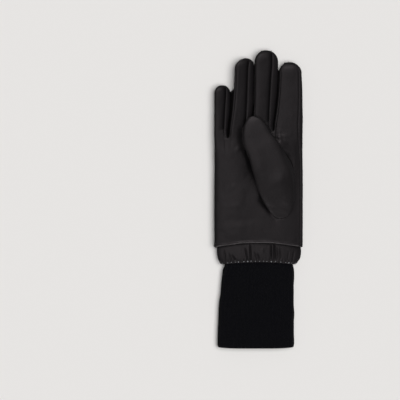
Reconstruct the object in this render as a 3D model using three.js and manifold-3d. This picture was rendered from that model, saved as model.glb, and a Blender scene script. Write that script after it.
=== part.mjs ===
// A leather glove with a gathered band and a ribbed knit cuff, for a right hand, lying palm up.
// Millimetres. +Y runs to the fingertips, +X to the index side and +Z up.
// The back of the hand lies on z = 0, and the origin is under the middle of the glove.

import * as THREE from "three";
import { mergeVertices } from "three/addons/utils/BufferGeometryUtils.js";
import Module from "manifold-3d";

const wasm = await Module();
wasm.setup();

// Walls, the extra thickness of the folded hem, the gap between two panels at a fingertip, and the
// distance under which two corners are one
const LEATHER = 1.2;
const HEM_FOLD = 1.0;
const KNIT = 1.8;
const SEAM_GAP = 0.35;
const WELD = 1e-3;

// Flat part of the hand, between the finger roots and the hem
const HAND = {
  halfWidth: 45.4,
  middleZ: 6, // height of the section's widest level
  above: 8.2,
  pressed: 0.9, // how much of the section's underside is pressed flat
  power: 2.9, // roundness of the section: 2 is an ellipse, more is boxier
  hemY: -43.6,
  hemDrop: 5, // how much lower the hem is at the edges than in the middle
  foldFrom: 0.92, // shares of the way to the hem over which its fold thickens the wall
  foldTo: 0.98,
  spread: 0.36, // shares of the way to the hem over which the finger roots even out
  level: 0.22,
};

// Seams along the hand, as angles round its section: 0 is the index edge, 90 the palm, 180 the little edge
const HAND_SEAMS = { index: 23, little: 211, gap: 0.9 };

// Fingers. X is the middle and Half the half width, at the root, the middle and the end of the straight part
const FINGERS = [
  {
    name: "little",
    rootX: -38.85,
    rootHalf: 6.55,
    midX: -37.55,
    midHalf: 7.75,
    endX: -37.3,
    endHalf: 8,
    tipX: -37.1,
    tipY: 117,
    leftY: 68,
    rightY: 70,
    height: 11,
  },
  {
    name: "ring",
    rootX: -18.45,
    rootHalf: 11.3,
    midX: -15.7,
    midHalf: 10.45,
    endX: -14.8,
    endHalf: 9.8,
    tipX: -12.6,
    tipY: 144.7,
    leftY: 70,
    rightY: 72,
    height: 12,
  },
  {
    name: "middle",
    rootX: 4.7,
    rootHalf: 10.5,
    midX: 7.3,
    midHalf: 11.7,
    endX: 8,
    endHalf: 12,
    tipX: 8.4,
    tipY: 152.9,
    leftY: 72,
    rightY: 77,
    height: 12.5,
  },
  {
    name: "index",
    rootX: 30.75,
    rootHalf: 14.45,
    midX: 32.7,
    midHalf: 12.5,
    endX: 32.85,
    endHalf: 11.35,
    tipX: 31.8,
    tipY: 140.7,
    leftY: 77,
    rightY: 76,
    height: 12.5,
  },
];
const FINGER_SHAPE = {
  midAt: 0.45, // shares of the length at which the middle and the end are measured
  endAt: 0.8,
  dome: 0.95, // length of the rounded end, in half widths
  middleZ: 0.45, // level of the widest line, in heights
  pressed: 0.8,
  power: 2.3,
  bluntness: 0.97,
};

// Seams along a finger, as angles round its section, where the strip between two fingers begins and ends
const FINGER_SEAMS = {
  rootPalm: 62, // strip at the finger's root
  rootBack: -22,
  stripPalm: 70, // strip along the finger, which is rolled so that it shows on the palm side
  stripBack: 6,
  rolledAt: 0.4,
  outerIndex: 52, // seam on the outer side of the index and of the little finger
  outerLittle: 250,
  gap: 2.6,
  taperFrom: -0.4, // shares of the rounded end over which a strip narrows
  taperTo: 0.8,
  stripEnd: 0.4,
  parting: 0.75, // share of the rounded end from which the two panels meet
  crotchInset: 1.8, // how much more the strip stays clear of its seams in the crotch
};
const CROTCH_DIP = 7; // how far the crotches reach below the finger roots

// Rows and columns of the leather pieces
const DENSITY = {
  fingerBody: [0, 0.17, 0.36, 0.57, 0.8],
  fingerDome: [0, 0.22, 0.4, 0.62, 0.82, 0.94, 1],
  fingerCells: { palm: [7, 5, 5, 6], back: [5, 5, 5, 8] },
  crotchCells: 4,
  stripCells: 3,
  handRows: [0, 0.04, 0.09, 0.15, 0.22, 0.31, 0.42, 0.54, 0.67, 0.8, 0.91, 0.97, 1],
  thumbCells: 20,
};
const SECTION_STEPS = 720; // fine steps by which an outline's length is measured

// Soft folds of the palm: middle, heading in degrees from +X, half length, half width and height
const PALM_FOLDS = [
  { x: 22, y: 60, heading: -50, long: 12, wide: 5, height: 1.1 },
  { x: -24, y: 50, heading: -20, long: 11, wide: 6, height: 0.7 },
  { x: -30, y: -1, heading: 10, long: 12, wide: 8, height: 0.8 },
  { x: -22, y: -24, heading: 4, long: 16, wide: 6, height: 0.7 },
  { x: -6, y: 10, heading: 70, long: 26, wide: 8, height: -1.0 },
  { x: 8, y: -28, heading: -15, long: 16, wide: 7, height: -0.5 },
];

// Thumb rings, from its seam in the palm to its tip. Each ring hangs between an upper and a lower point
const THUMB = {
  power: 2.2,
  clearance: 0.5, // height above the palm at which its foot widens
  hole: 0.4, // gap round its foot in the palm
};
const THUMB_RINGS = [
  { upX: 21.4, upY: -19.8, upZ: 14, lowX: 26, lowY: 44, lowZ: 14, half: 11.8, heading: -4 },
  { upX: 21.4, upY: -17.6, upZ: 16.8, lowX: 23.2, lowY: 43.6, lowZ: 15.4, half: 13.8, heading: -3 },
  { upX: 19.5, upY: -9, upZ: 20.6, lowX: 19.2, lowY: 44, lowZ: 15.6, half: 17, heading: 0 },
  { upX: 17.4, upY: 3, upZ: 24, lowX: 16.6, lowY: 45.5, lowZ: 15.7, half: 19, heading: 4 },
  { upX: 15.3, upY: 18, upZ: 26.3, lowX: 13.4, lowY: 48, lowZ: 15.7, half: 20.4, heading: 10 },
  { upX: 10.6, upY: 34, upZ: 27.3, lowX: 8.8, lowY: 52, lowZ: 15.6, half: 19, heading: 18 },
  { upX: 4.4, upY: 48, upZ: 27.4, lowX: 3.2, lowY: 57.5, lowZ: 15.5, half: 16.8, heading: 26 },
  { upX: -1, upY: 59, upZ: 26.8, lowX: -1.6, lowY: 64, lowZ: 15.3, half: 15.6, heading: 27 },
  { upX: -4.3, upY: 68, upZ: 25.4, lowX: -4.5, lowY: 70.5, lowZ: 15.3, half: 14, heading: 27 },
  { upX: -6, upY: 75, upZ: 23.5, lowX: -6.1, lowY: 76, lowZ: 15.7, half: 11.6, heading: 26 },
  { upX: -7, upY: 80, upZ: 21.6, lowX: -7, lowY: 80.3, lowZ: 16.5, half: 8.2, heading: 22 },
  { upX: -7.8, upY: 83.6, upZ: 20.3, lowX: -7.8, lowY: 83.6, lowZ: 16.9, half: 3.8, heading: 18 },
];

// Gathered band, from its edge inside the hem to its edge over the knit. Down is measured from the hem,
// height and foot from the surface, and pleat is the share of the full pleat depth
const BAND_RINGS = [
  { down: -2.6, half: 42.1, height: 11.2, foot: 2.7, pleat: 0.1 },
  { down: 0.4, half: 42.2, height: 11.4, foot: 2.7, pleat: 0.2 },
  { down: 7, half: 42.6, height: 12.4, foot: 0.3, pleat: 0.5 },
  { down: 14, half: 41.7, height: 13.3, foot: 0, pleat: 0.9 },
  { down: 18.6, half: 39.8, height: 13.2, foot: 0, pleat: 1 },
  { down: 21, half: 38.3, height: 12.9, foot: 0, pleat: 0.8 },
];
const BAND = {
  pleats: 36,
  pleatDepth: 0.8,
  power: 2.6,
  middleZ: 5.2,
  topDrop: 5, // how much lower its two edges are at the sides than in the middle
  footDrop: 3.4,
  uneven: 0.35, // how much the depth varies, and the angle by which it moves on at each column
  unevenStep: 97,
  underPleat: 0.3, // share of the pleats left where the band is pressed under the hand
};

// Knit cuff, from its edge inside the band to its free edge, in the same measures, with x as its middle
const CUFF_RINGS = [
  { down: 15, x: 0.2, half: 34.3, height: 10.3, foot: 1.6 },
  { down: 23.5, x: 0.2, half: 35, height: 10.4, foot: 1.7 },
  { down: 29, x: 0, half: 36.4, height: 10.9, foot: 0 },
  { down: 60, x: -2, half: 37.7, height: 11.4, foot: 0 },
  { down: 105.6, x: -3.1, half: 38.8, height: 11.2, foot: 0 },
  { down: 109.3, x: -3.2, half: 38.4, height: 10.8, foot: 0 },
];
const CUFF = {
  ribs: 40,
  ribDepth: 0.7,
  power: 2.8,
  middleZ: 5,
  corner: 1.2, // how much its free corners are rounded
};

// Colours and finishes
const FINISHES = {
  leather: { color: 0x242124, roughness: 0.48, metalness: 0 },
  knit: { color: 0x101014, roughness: 0.95, metalness: 0 },
};

const radians = THREE.MathUtils.degToRad;
const lerp = THREE.MathUtils.lerp;
const smoothstep = THREE.MathUtils.smoothstep;

// Point of a rounded section with a flat foot: width to each side, height above and depth below its middle
function sectionPoint(angle, half, above, below, power) {
  const rounded = (value) => Math.sign(value) * Math.abs(value) ** (2 / power);
  const across = rounded(Math.cos(radians(angle)));
  const upward = rounded(Math.sin(radians(angle)));
  return { x: half * across, z: (upward > 0 ? above : below) * upward };
}

// Value of a finger's measure at a share of its length, on the parabola through its three stations
function alongFinger(root, mid, end, share) {
  const { midAt, endAt } = FINGER_SHAPE;
  const at = Math.min(share, endAt);
  const fromRoot = (root * (at - midAt) * (at - endAt)) / (midAt * endAt);
  const fromMid = (mid * at * (at - endAt)) / (midAt * (midAt - endAt));
  const fromEnd = (end * at * (at - midAt)) / (endAt * (endAt - midAt));
  return fromRoot + fromMid + fromEnd;
}

// Share of a finger's length at which its rounded end begins
function domeStart(finger) {
  return 1 - (FINGER_SHAPE.dome * finger.endHalf) / (finger.tipY - finger.rightY);
}

// How far into the rounded end a share of the length lies, negative on the straight part
function domeShare(finger, share) {
  const start = domeStart(finger);
  return (share - start) / (1 - start);
}

// Point on a finger's skin at an angle and a share of its length, at a depth under the surface
function fingerPoint(finger, angle, share, depth) {
  const { endAt, power, bluntness, pressed } = FINGER_SHAPE;
  const inDome = THREE.MathUtils.clamp(domeShare(finger, share), 0, 1);
  const narrowing = (1 - (inDome * bluntness) ** power) ** (1 / power);
  const flattening = (1 - inDome ** power) ** (1 / power);
  const toTip = Math.max(0, (share - endAt) / (1 - endAt)) ** 2;
  const middleX = alongFinger(finger.rootX, finger.midX, finger.endX, share);
  const half = alongFinger(finger.rootHalf, finger.midHalf, finger.endHalf, share);
  const middleZ = finger.height * FINGER_SHAPE.middleZ;
  const above = (finger.height - middleZ - depth) * flattening;
  const below = (middleZ + pressed - depth) * flattening;
  const point = sectionPoint(angle, (half - depth) * narrowing, above, below, power);
  const across = THREE.MathUtils.clamp(0.5 + point.x / (2 * half), 0, 1);
  const rootY = lerp(finger.leftY, finger.rightY, across);
  return new THREE.Vector3(
    lerp(middleX, finger.tipX, toTip) + point.x,
    lerp(rootY, finger.tipY - depth, share),
    Math.max(middleZ + point.z, depth * flattening),
  );
}

// Share of the strips' full width at a share of the finger's length: they run out round the tip
function stripShare(finger, share) {
  const { taperFrom, taperTo } = FINGER_SEAMS;
  return 1 - smoothstep(domeShare(finger, share), taperFrom, taperTo);
}

// Angles of the seams on one finger at a share of its length
function fingerSeams(number, share) {
  const width = stripShare(FINGERS[number], share);
  const rolled = smoothstep(share, 0, FINGER_SEAMS.rolledAt);
  const stripPalm = lerp(FINGER_SEAMS.rootPalm, FINGER_SEAMS.stripPalm, rolled);
  const stripBack = lerp(FINGER_SEAMS.rootBack, FINGER_SEAMS.stripBack, rolled);
  const { outerIndex, outerLittle } = FINGER_SEAMS;
  const isLittle = number === 0;
  const isIndex = number === FINGERS.length - 1;
  const littleSeam = 180 + (outerLittle - 180) * width;
  const indexSeam = outerIndex * width;
  return {
    palmRight: isIndex ? indexSeam : stripPalm * width,
    palmLeft: isLittle ? littleSeam : 180 + stripBack * width,
    backLeft: isLittle ? littleSeam : 180 + stripPalm * width,
    backRight: 360 + (isIndex ? indexSeam : stripBack * width),
  };
}

// First and last angle of a panel on a finger, from its little side to its index side
function panelSpan(side, number, share) {
  const seams = fingerSeams(number, share);
  const gap = FINGER_SEAMS.gap;
  return side === "palm"
    ? [seams.palmLeft - gap, seams.palmRight + gap]
    : [seams.backLeft + gap, seams.backRight - gap];
}

// Point of a panel on a finger. Round the tip the two panels stay half a seam gap from the middle
function panelFingerPoint(side, number, across, share, depth) {
  const finger = FINGERS[number];
  const [from, to] = panelSpan(side, number, share);
  const point = fingerPoint(finger, lerp(from, to, across), share, depth);
  if (domeShare(finger, share) >= FINGER_SEAMS.parting) {
    const middleZ = finger.height * FINGER_SHAPE.middleZ;
    const half = SEAM_GAP / 2;
    point.z = side === "palm" ? Math.max(point.z, middleZ + half) : Math.min(point.z, middleZ - half);
  }
  return point;
}

// Point in the crotch right of a finger: around runs from that finger to the next, through from palm to back
function crotchPoint(number, around, through, depth) {
  const gap = FINGER_SEAMS.gap;
  const left = fingerSeams(number, 0);
  const right = fingerSeams(number + 1, 0);
  const leftAngle = lerp(left.palmRight + gap, left.backRight - 360 - gap, through);
  const rightAngle = lerp(right.palmLeft - gap, right.backLeft + gap, through);
  const from = fingerPoint(FINGERS[number], leftAngle, 0, depth);
  const to = fingerPoint(FINGERS[number + 1], rightAngle, 0, depth);
  const point = from.lerp(to, (1 - Math.cos(Math.PI * around)) / 2);
  point.y -= (CROTCH_DIP + depth) * Math.sin(Math.PI * around);
  return point;
}

// Height that the soft folds add to the palm
function foldHeight(x, y) {
  let height = 0;
  for (const fold of PALM_FOLDS) {
    const turn = radians(fold.heading);
    const along = (x - fold.x) * Math.cos(turn) + (y - fold.y) * Math.sin(turn);
    const aside = (y - fold.y) * Math.cos(turn) - (x - fold.x) * Math.sin(turn);
    height += fold.height * Math.exp(-((along / fold.long) ** 2) - (aside / fold.wide) ** 2);
  }
  return height;
}

// Angle round the hand's section at which its palm or its back passes over an x
function handAngle(side, x) {
  const share = x / HAND.halfWidth;
  const angle = THREE.MathUtils.radToDeg(Math.acos(Math.sign(share) * Math.abs(share) ** (HAND.power / 2)));
  return side === "palm" ? angle : 360 - angle;
}

// Point on the hand's skin at an angle round its section
function handPoint(angle, y, depth) {
  const below = HAND.middleZ + HAND.pressed - depth;
  const point = sectionPoint(angle, HAND.halfWidth - depth, HAND.above - depth, below, HAND.power);
  const onTop = Math.max(0, Math.sin(radians(angle)));
  const z = HAND.middleZ + point.z + onTop * foldHeight(point.x, y);
  return new THREE.Vector3(point.x, y, Math.max(z, depth));
}

// Height of the palm over a place
function palmHeight(x, y) {
  return handPoint(handAngle("palm", x), y, 0).z;
}

// Lower edge of the leather: it rises to the middle of the hand
function hemLine(x) {
  return HAND.hemY - HAND.hemDrop * (x / HAND.halfWidth) ** 2;
}

// Columns of a panel below the fingers: where each starts at the finger roots, and its angle on the hand
function panelColumns(side) {
  const columns = [];
  const gap = side === "palm" ? -HAND_SEAMS.gap : HAND_SEAMS.gap;
  const last = FINGERS.length - 1;
  FINGERS.forEach((finger, number) => {
    const rootAt = (across, depth) => panelFingerPoint(side, number, across, 0, depth);
    const indexSeam = side === "palm" ? HAND_SEAMS.index : HAND_SEAMS.index + 360;
    const from = number === 0 ? HAND_SEAMS.little + gap : handAngle(side, rootAt(0, 0).x);
    const to = number === last ? indexSeam - gap : handAngle(side, rootAt(1, 0).x);
    const cells = DENSITY.fingerCells[side][number];
    for (let cell = 0; cell <= cells; cell += 1) {
      const across = cell / cells;
      columns.push({ root: (depth) => rootAt(across, depth), angle: lerp(from, to, across) });
    }
    if (number === last) return;
    const next = handAngle(side, panelFingerPoint(side, number + 1, 0, 0, 0).x);
    for (let cell = 1; cell < DENSITY.crotchCells; cell += 1) {
      const around = cell / DENSITY.crotchCells;
      const through = side === "palm" ? 0 : 1;
      columns.push({
        root: (depth) => crotchPoint(number, around, through, depth),
        angle: lerp(to, next, around),
      });
    }
  });
  return columns;
}

// Point of a panel between the finger roots, at share 0, and the hem, at share 1. The hem is folded double
function panelHandPoint(column, share, depth) {
  const root = column.root(depth);
  const folded = depth > 0 ? HEM_FOLD * smoothstep(share, HAND.foldFrom, HAND.foldTo) : 0;
  const target = handPoint(column.angle, root.y, depth + folded);
  const y = lerp(root.y, hemLine(target.x), share);
  const hand = handPoint(column.angle, y, depth + folded);
  const x = lerp(root.x, hand.x, smoothstep(share, 0, HAND.spread));
  return new THREE.Vector3(x, y, lerp(root.z, hand.z, smoothstep(share, 0, HAND.level)));
}

// A closed leather or knit solid: an outer skin of grids that meet, the same skin at a depth, and the edges
function thickSheet(grids, wall) {
  const corners = [];
  const lookup = new Map();
  const cells = [];
  const cornerOf = (grid, row, column) => {
    const outer = grid.point(row, column, 0);
    const key = outer.toArray().map((value) => Math.round(value / WELD)).join();
    if (!lookup.has(key)) {
      lookup.set(key, corners.length);
      corners.push({ outer, inner: grid.point(row, column, wall) });
    }
    return lookup.get(key);
  };
  for (const grid of grids) {
    for (let row = 0; row < grid.rows; row += 1) {
      for (let column = 0; column < grid.columns; column += 1) {
        const cell = [
          cornerOf(grid, row, column),
          cornerOf(grid, row, column + 1),
          cornerOf(grid, row + 1, column + 1),
          cornerOf(grid, row + 1, column),
        ];
        cells.push(grid.turned ? cell.reverse() : cell);
      }
    }
  }
  return closedSkin(corners, cells);
}

// Faces of a thick sheet: outer cells, inner cells turned over, and a strip along each free edge
function closedSkin(corners, cells) {
  const positions = [];
  const addFace = (...points) => {
    for (let third = 2; third < points.length; third += 1) {
      for (const point of [points[0], points[third - 1], points[third]]) positions.push(...point.toArray());
    }
  };
  const edges = new Set();
  const eachEdge = (cell, visit) => cell.forEach((corner, at) => visit(corner, cell[(at + 1) % cell.length]));
  for (const cell of cells) eachEdge(cell, (from, to) => edges.add(from + ">" + to));
  for (const cell of cells) {
    addFace(...cell.map((corner) => corners[corner].outer));
    addFace(...cell.map((corner) => corners[corner].inner).reverse());
    eachEdge(cell, (from, to) => {
      if (edges.has(to + ">" + from)) return;
      addFace(corners[to].outer, corners[from].outer, corners[from].inner, corners[to].inner);
    });
  }
  const geometry = new THREE.BufferGeometry();
  geometry.setAttribute("position", new THREE.Float32BufferAttribute(positions, 3));
  return mergeVertices(geometry, WELD);
}

// Shares of a finger's length at which its rows lie
function fingerRows(finger) {
  const start = domeStart(finger);
  const body = DENSITY.fingerBody.map((share) => share * start);
  const dome = DENSITY.fingerDome.map((share) => start + (1 - start) * share);
  return [...body, ...dome];
}

// One panel: the hand down to the hem, and one grid for each finger
function panelGeometry(side) {
  const columns = panelColumns(side);
  const turned = side === "back";
  const handRows = DENSITY.handRows;
  const hand = {
    rows: handRows.length - 1,
    columns: columns.length - 1,
    turned: !turned,
    point: (row, column, depth) => panelHandPoint(columns[column], handRows[row], depth),
  };
  const fingers = FINGERS.map((finger, number) => {
    const rows = fingerRows(finger);
    const cells = DENSITY.fingerCells[side][number];
    return {
      rows: rows.length - 1,
      columns: cells,
      turned,
      point: (row, column, depth) => panelFingerPoint(side, number, column / cells, rows[row], depth),
    };
  });
  return thickSheet([hand, ...fingers], LEATHER);
}

// Strip between two fingers: down the side of one, round the crotch and up the side of the next
function fourchetteGeometry(number) {
  const gap = FINGER_SEAMS.gap;
  const leftRows = stripRows(FINGERS[number]).reverse();
  const rightRows = stripRows(FINGERS[number + 1]);
  const stops = [
    ...leftRows.map((share) => ({ finger: number, share })),
    ...Array.from({ length: DENSITY.crotchCells - 1 }, (_, cell) => ({ around: (cell + 1) / DENSITY.crotchCells })),
    ...rightRows.map((share) => ({ finger: number + 1, share })),
  ];
  const root = fingerSeams(number, 0);
  const edge = (2 * gap) / (root.palmRight - root.backRight + 360 + 2 * gap);
  const inCrotch = (around, through) => {
    const margin = edge * (1 + FINGER_SEAMS.crotchInset * Math.sin(Math.PI * around));
    return lerp(margin, 1 - margin, through);
  };
  const point = (row, column, depth) => {
    const stop = stops[row];
    const through = column / DENSITY.stripCells;
    if (stop.around) return crotchPoint(number, stop.around, inCrotch(stop.around, through), depth);
    const seams = fingerSeams(stop.finger, stop.share);
    const onLeft = stop.finger === number;
    const from = onLeft ? seams.palmRight - gap : seams.palmLeft + gap;
    const to = onLeft ? seams.backRight - 360 + gap : seams.backLeft - gap;
    return fingerPoint(FINGERS[stop.finger], lerp(from, to, through), stop.share, depth);
  };
  return thickSheet([{ rows: stops.length - 1, columns: DENSITY.stripCells, turned: true, point }], LEATHER);
}

// Rows of a finger that its strip reaches
function stripRows(finger) {
  return fingerRows(finger).filter((share) => domeShare(finger, share) <= FINGER_SEAMS.stripEnd + 1e-6);
}

// Point on a thumb ring, at an angle round it, spread outwards by a margin
function thumbPoint(ring, angle, margin) {
  const upper = new THREE.Vector3(ring.upX, ring.upY, ring.upZ);
  const lower = new THREE.Vector3(ring.lowX, ring.lowY, ring.lowZ);
  const middle = upper.clone().add(lower).multiplyScalar(0.5);
  const upward = upper.sub(middle);
  const reach = upward.length();
  const aside = new THREE.Vector3(Math.cos(radians(ring.heading)), Math.sin(radians(ring.heading)), 0);
  const share = sectionPoint(angle, ring.half + margin, reach + margin, reach + margin, THUMB.power);
  return middle.addScaledVector(aside, share.x).addScaledVector(upward, share.z / reach);
}

// Thumb: its foot passes through the hole in the palm, then it rises and lies over the hand
function thumbGeometry() {
  const rings = [THUMB_RINGS[0], ...THUMB_RINGS];
  const lastRow = rings.length - 1;
  const outer = (row, column) => {
    const place = thumbPoint(rings[row], (360 * column) / DENSITY.thumbCells, 0);
    if (row < 2) place.z = palmHeight(place.x, place.y) + (row === 0 ? -LEATHER : THUMB.clearance);
    return place;
  };
  const point = (row, column, depth) => {
    const turn = column % DENSITY.thumbCells;
    if (depth === 0) return outer(row, turn);
    const around = outer(row, turn + 1).sub(outer(row, turn - 1));
    const along = outer(Math.min(row + 1, lastRow), turn).sub(outer(Math.max(row - 1, 0), turn));
    const inward = around.cross(along).normalize();
    if (row === lastRow) inward.sub(thumbHeading(rings[lastRow]));
    return outer(row, turn).addScaledVector(inward, depth);
  };
  const side = { rows: lastRow, columns: DENSITY.thumbCells, turned: true, point };
  return thickSheet([side, thumbTip(lastRow, point)], LEATHER);
}

// Direction in which the thumb points at a ring
function thumbHeading(ring) {
  return new THREE.Vector3(-Math.sin(radians(ring.heading)), Math.cos(radians(ring.heading)), 0);
}

// Tip of the thumb: the last ring is closed across by a ladder of cells
function thumbTip(lastRow, ringPoint) {
  const half = DENSITY.thumbCells / 2;
  return {
    rows: half - 2,
    columns: 1,
    turned: false,
    point: (row, column, depth) => {
      const step = column === 0 ? row + 1 : DENSITY.thumbCells - row - 1;
      return ringPoint(lastRow, step, depth);
    },
  };
}

// Solid used by cuts and joins
function solidOf(geometry) {
  const { position } = geometry.attributes;
  return new wasm.Manifold(
    new wasm.Mesh({
      numProp: 3,
      vertProperties: new Float32Array(position.array),
      triVerts: new Uint32Array(geometry.index.array),
    }),
  );
}

function geometryOf(solid) {
  const mesh = solid.getMesh();
  const geometry = new THREE.BufferGeometry();
  geometry.setAttribute("position", new THREE.BufferAttribute(mesh.vertProperties, 3));
  geometry.setIndex(new THREE.BufferAttribute(mesh.triVerts, 1));
  return geometry;
}

// Block with the outline of the thumb's seam, a little larger, which cuts the hole in the palm
function thumbHoleCutter() {
  const ring = THUMB_RINGS[0];
  const outline = [];
  for (let step = 0; step < DENSITY.thumbCells; step += 1) {
    const place = thumbPoint(ring, (360 * step) / DENSITY.thumbCells, THUMB.hole);
    outline.push(new THREE.Vector2(place.x, place.y));
  }
  const block = new THREE.ExtrudeGeometry(new THREE.Shape(outline), { depth: 2 * HAND.above, bevelEnabled: false });
  block.translate(0, 0, HAND.middleZ);
  block.deleteAttribute("normal");
  block.deleteAttribute("uv");
  return mergeVertices(block, WELD);
}

function palmGeometry() {
  const panel = solidOf(panelGeometry("palm"));
  return geometryOf(panel.subtract(solidOf(thumbHoleCutter())));
}

// Angles that divide a rounded section into equal steps along its outline
function evenAngles(ring, shape, count) {
  const places = [];
  for (let step = 0; step <= SECTION_STEPS; step += 1) {
    const angle = (360 * step) / SECTION_STEPS;
    places.push(sectionPoint(angle, ring.half, ring.height - shape.middleZ, shape.middleZ, shape.power));
  }
  const lengths = [0];
  for (let step = 1; step <= SECTION_STEPS; step += 1) {
    const stride = Math.hypot(places[step].x - places[step - 1].x, places[step].z - places[step - 1].z);
    lengths.push(lengths[step - 1] + stride);
  }
  const angles = [];
  let step = 1;
  for (let part = 0; part < count; part += 1) {
    const wanted = (lengths[SECTION_STEPS] * part) / count;
    while (lengths[step] < wanted) step += 1;
    const beyond = (wanted - lengths[step - 1]) / (lengths[step] - lengths[step - 1]);
    angles.push((360 * (step - 1 + beyond)) / SECTION_STEPS);
  }
  return angles;
}

// Tube of rings whose section is rounded above and flat below, with ribs or pleats round it
function ruffledTube(rings, wall, columns, shape) {
  const angles = evenAngles(rings[rings.length - 1], shape, columns);
  const point = (row, column, depth) => {
    const ring = rings[row];
    const inset = depth + shape.relief(ring, column % columns, depth, angles[column % columns]);
    const above = ring.height - shape.middleZ - inset;
    const below = shape.middleZ - ring.foot + HAND.pressed - inset;
    const place = sectionPoint(angles[column % columns], ring.half - inset, above, below, shape.power);
    const z = Math.max(shape.middleZ + place.z, ring.foot + depth);
    return new THREE.Vector3((ring.x ?? 0) + place.x, -shape.down(ring, place.x), z);
  };
  return thickSheet([{ rows: rings.length - 1, columns, turned: false, point }], wall);
}

// Gathered band: pleats that deepen towards the knit, some more than others. Its edges follow the hem's curve
function bandGeometry() {
  const lastDown = BAND_RINGS[BAND_RINGS.length - 1].down;
  const shape = {
    middleZ: BAND.middleZ,
    power: BAND.power,
    relief: (ring, column, depth, angle) => {
      const uneven = 1 + BAND.uneven * Math.sin(radians(BAND.unevenStep * column));
      const pressed = angle > 180 ? BAND.underPleat : 1;
      return column % 2 === 0 ? 0 : BAND.pleatDepth * ring.pleat * uneven * pressed;
    },
    down: (ring, x) => {
      const drop = lerp(BAND.topDrop, BAND.footDrop, Math.max(0, ring.down) / lastDown);
      return ring.down + drop * (x / HAND.halfWidth) ** 2;
    },
  };
  return ruffledTube(BAND_RINGS, LEATHER, BAND.pleats * 2, shape);
}

// Knit cuff: upright ribs outside, smooth inside, and slightly rounded corners at its free edge
function cuffGeometry() {
  const lastRing = CUFF_RINGS[CUFF_RINGS.length - 1];
  const shape = {
    middleZ: CUFF.middleZ,
    power: CUFF.power,
    relief: (ring, column, depth) => (column % 2 === 0 || depth > 0 ? 0 : CUFF.ribDepth),
    down: (ring, x) => ring.down - (ring === lastRing ? CUFF.corner * (x / ring.half) ** 4 : 0),
  };
  return ruffledTube(CUFF_RINGS, KNIT, CUFF.ribs * 2, shape);
}

function pieceOf(name, geometry, finish) {
  const piece = new THREE.Mesh(geometry, new THREE.MeshStandardMaterial(FINISHES[finish]));
  piece.name = name;
  return piece;
}

// Leather of the hand
const leatherHand = new THREE.Group();
leatherHand.add(pieceOf("palm_panel", palmGeometry(), "leather"));
leatherHand.add(pieceOf("back_panel", panelGeometry("back"), "leather"));
for (let number = 0; number < FINGERS.length - 1; number += 1) {
  const name = "fourchette_" + FINGERS[number].name + "_" + FINGERS[number + 1].name;
  leatherHand.add(pieceOf(name, fourchetteGeometry(number), "leather"));
}
leatherHand.add(pieceOf("thumb", thumbGeometry(), "leather"));

// Wrist: band and cuff, measured down from the middle of the hem
const wrist = new THREE.Group();
wrist.position.y = HAND.hemY;
wrist.add(pieceOf("gathered_band", bandGeometry(), "leather"));
wrist.add(pieceOf("knit_cuff", cuffGeometry(), "knit"));

const glove = new THREE.Group();
glove.add(leatherHand, wrist);

export default glove;
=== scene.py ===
import math

import bpy
import numpy as np
from mathutils.kdtree import KDTree
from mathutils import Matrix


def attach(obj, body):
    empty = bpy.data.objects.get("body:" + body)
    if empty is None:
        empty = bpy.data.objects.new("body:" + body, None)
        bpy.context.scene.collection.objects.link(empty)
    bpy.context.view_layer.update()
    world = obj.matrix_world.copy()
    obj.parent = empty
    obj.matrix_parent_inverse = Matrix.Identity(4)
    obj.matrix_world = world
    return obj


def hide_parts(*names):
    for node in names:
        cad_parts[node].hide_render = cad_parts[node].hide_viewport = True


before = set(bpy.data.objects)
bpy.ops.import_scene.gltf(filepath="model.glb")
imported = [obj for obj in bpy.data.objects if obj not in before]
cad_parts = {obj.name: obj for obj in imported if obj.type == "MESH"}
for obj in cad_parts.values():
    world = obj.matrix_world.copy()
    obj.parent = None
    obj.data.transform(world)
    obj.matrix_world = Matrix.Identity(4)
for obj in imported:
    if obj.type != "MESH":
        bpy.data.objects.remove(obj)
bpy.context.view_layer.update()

# Lengths in this file are millimetres, and mesh points are turned to metres as a mesh is made.
# X runs to the index side, Y to the fingertips and Z up from the surface that the glove lies on.
mm = 0.001


# Camera: straight above the middle of the picture, with a long lens
view = {
    "framePixels": 400,
    "pixelMm": 1.03,
    "centreX": -60.2,
    "centreY": -1.03,
    "height": 3000,
    "sensor": 36,
}


def makeCamera():
    data = bpy.data.cameras.new("overheadCamera")
    data.sensor_width = view["sensor"]
    data.lens = view["sensor"] * view["height"] / (view["framePixels"] * view["pixelMm"])
    data.clip_end = 20
    camera = bpy.data.objects.new("overheadCamera", data)
    camera.location = [view[key] * mm for key in ("centreX", "centreY", "height")]
    bpy.context.scene.collection.objects.link(camera)
    bpy.context.scene.camera = camera


makeCamera()
print("camera set")


# Numbers and arrays
def lerp(a, b, share):
    return a + (b - a) * share


def smoothstep(value, low, high):
    share = np.clip((value - low) / (high - low), 0, 1)
    return share * share * (3 - 2 * share)


def hump(distance, width):
    return np.exp(-((distance / width) ** 2))


def unit(vectors):
    return vectors / np.maximum(np.linalg.norm(vectors, axis=-1, keepdims=True), 1e-9)


def point3(x, y, z):
    return np.stack(np.broadcast_arrays(x, y, z), -1).astype(float)


def bunched(cells, amount):
    # shares from 0 to 1 whose steps are shorter near both ends
    even = np.linspace(0, 1, cells + 1)
    return even - amount * np.sin(2 * np.pi * even) / (2 * np.pi)


def smootherShare(share):
    # eases in and out, with no kink in its slope
    return share**3 * (share * (6 * share - 15) + 10)


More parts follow.
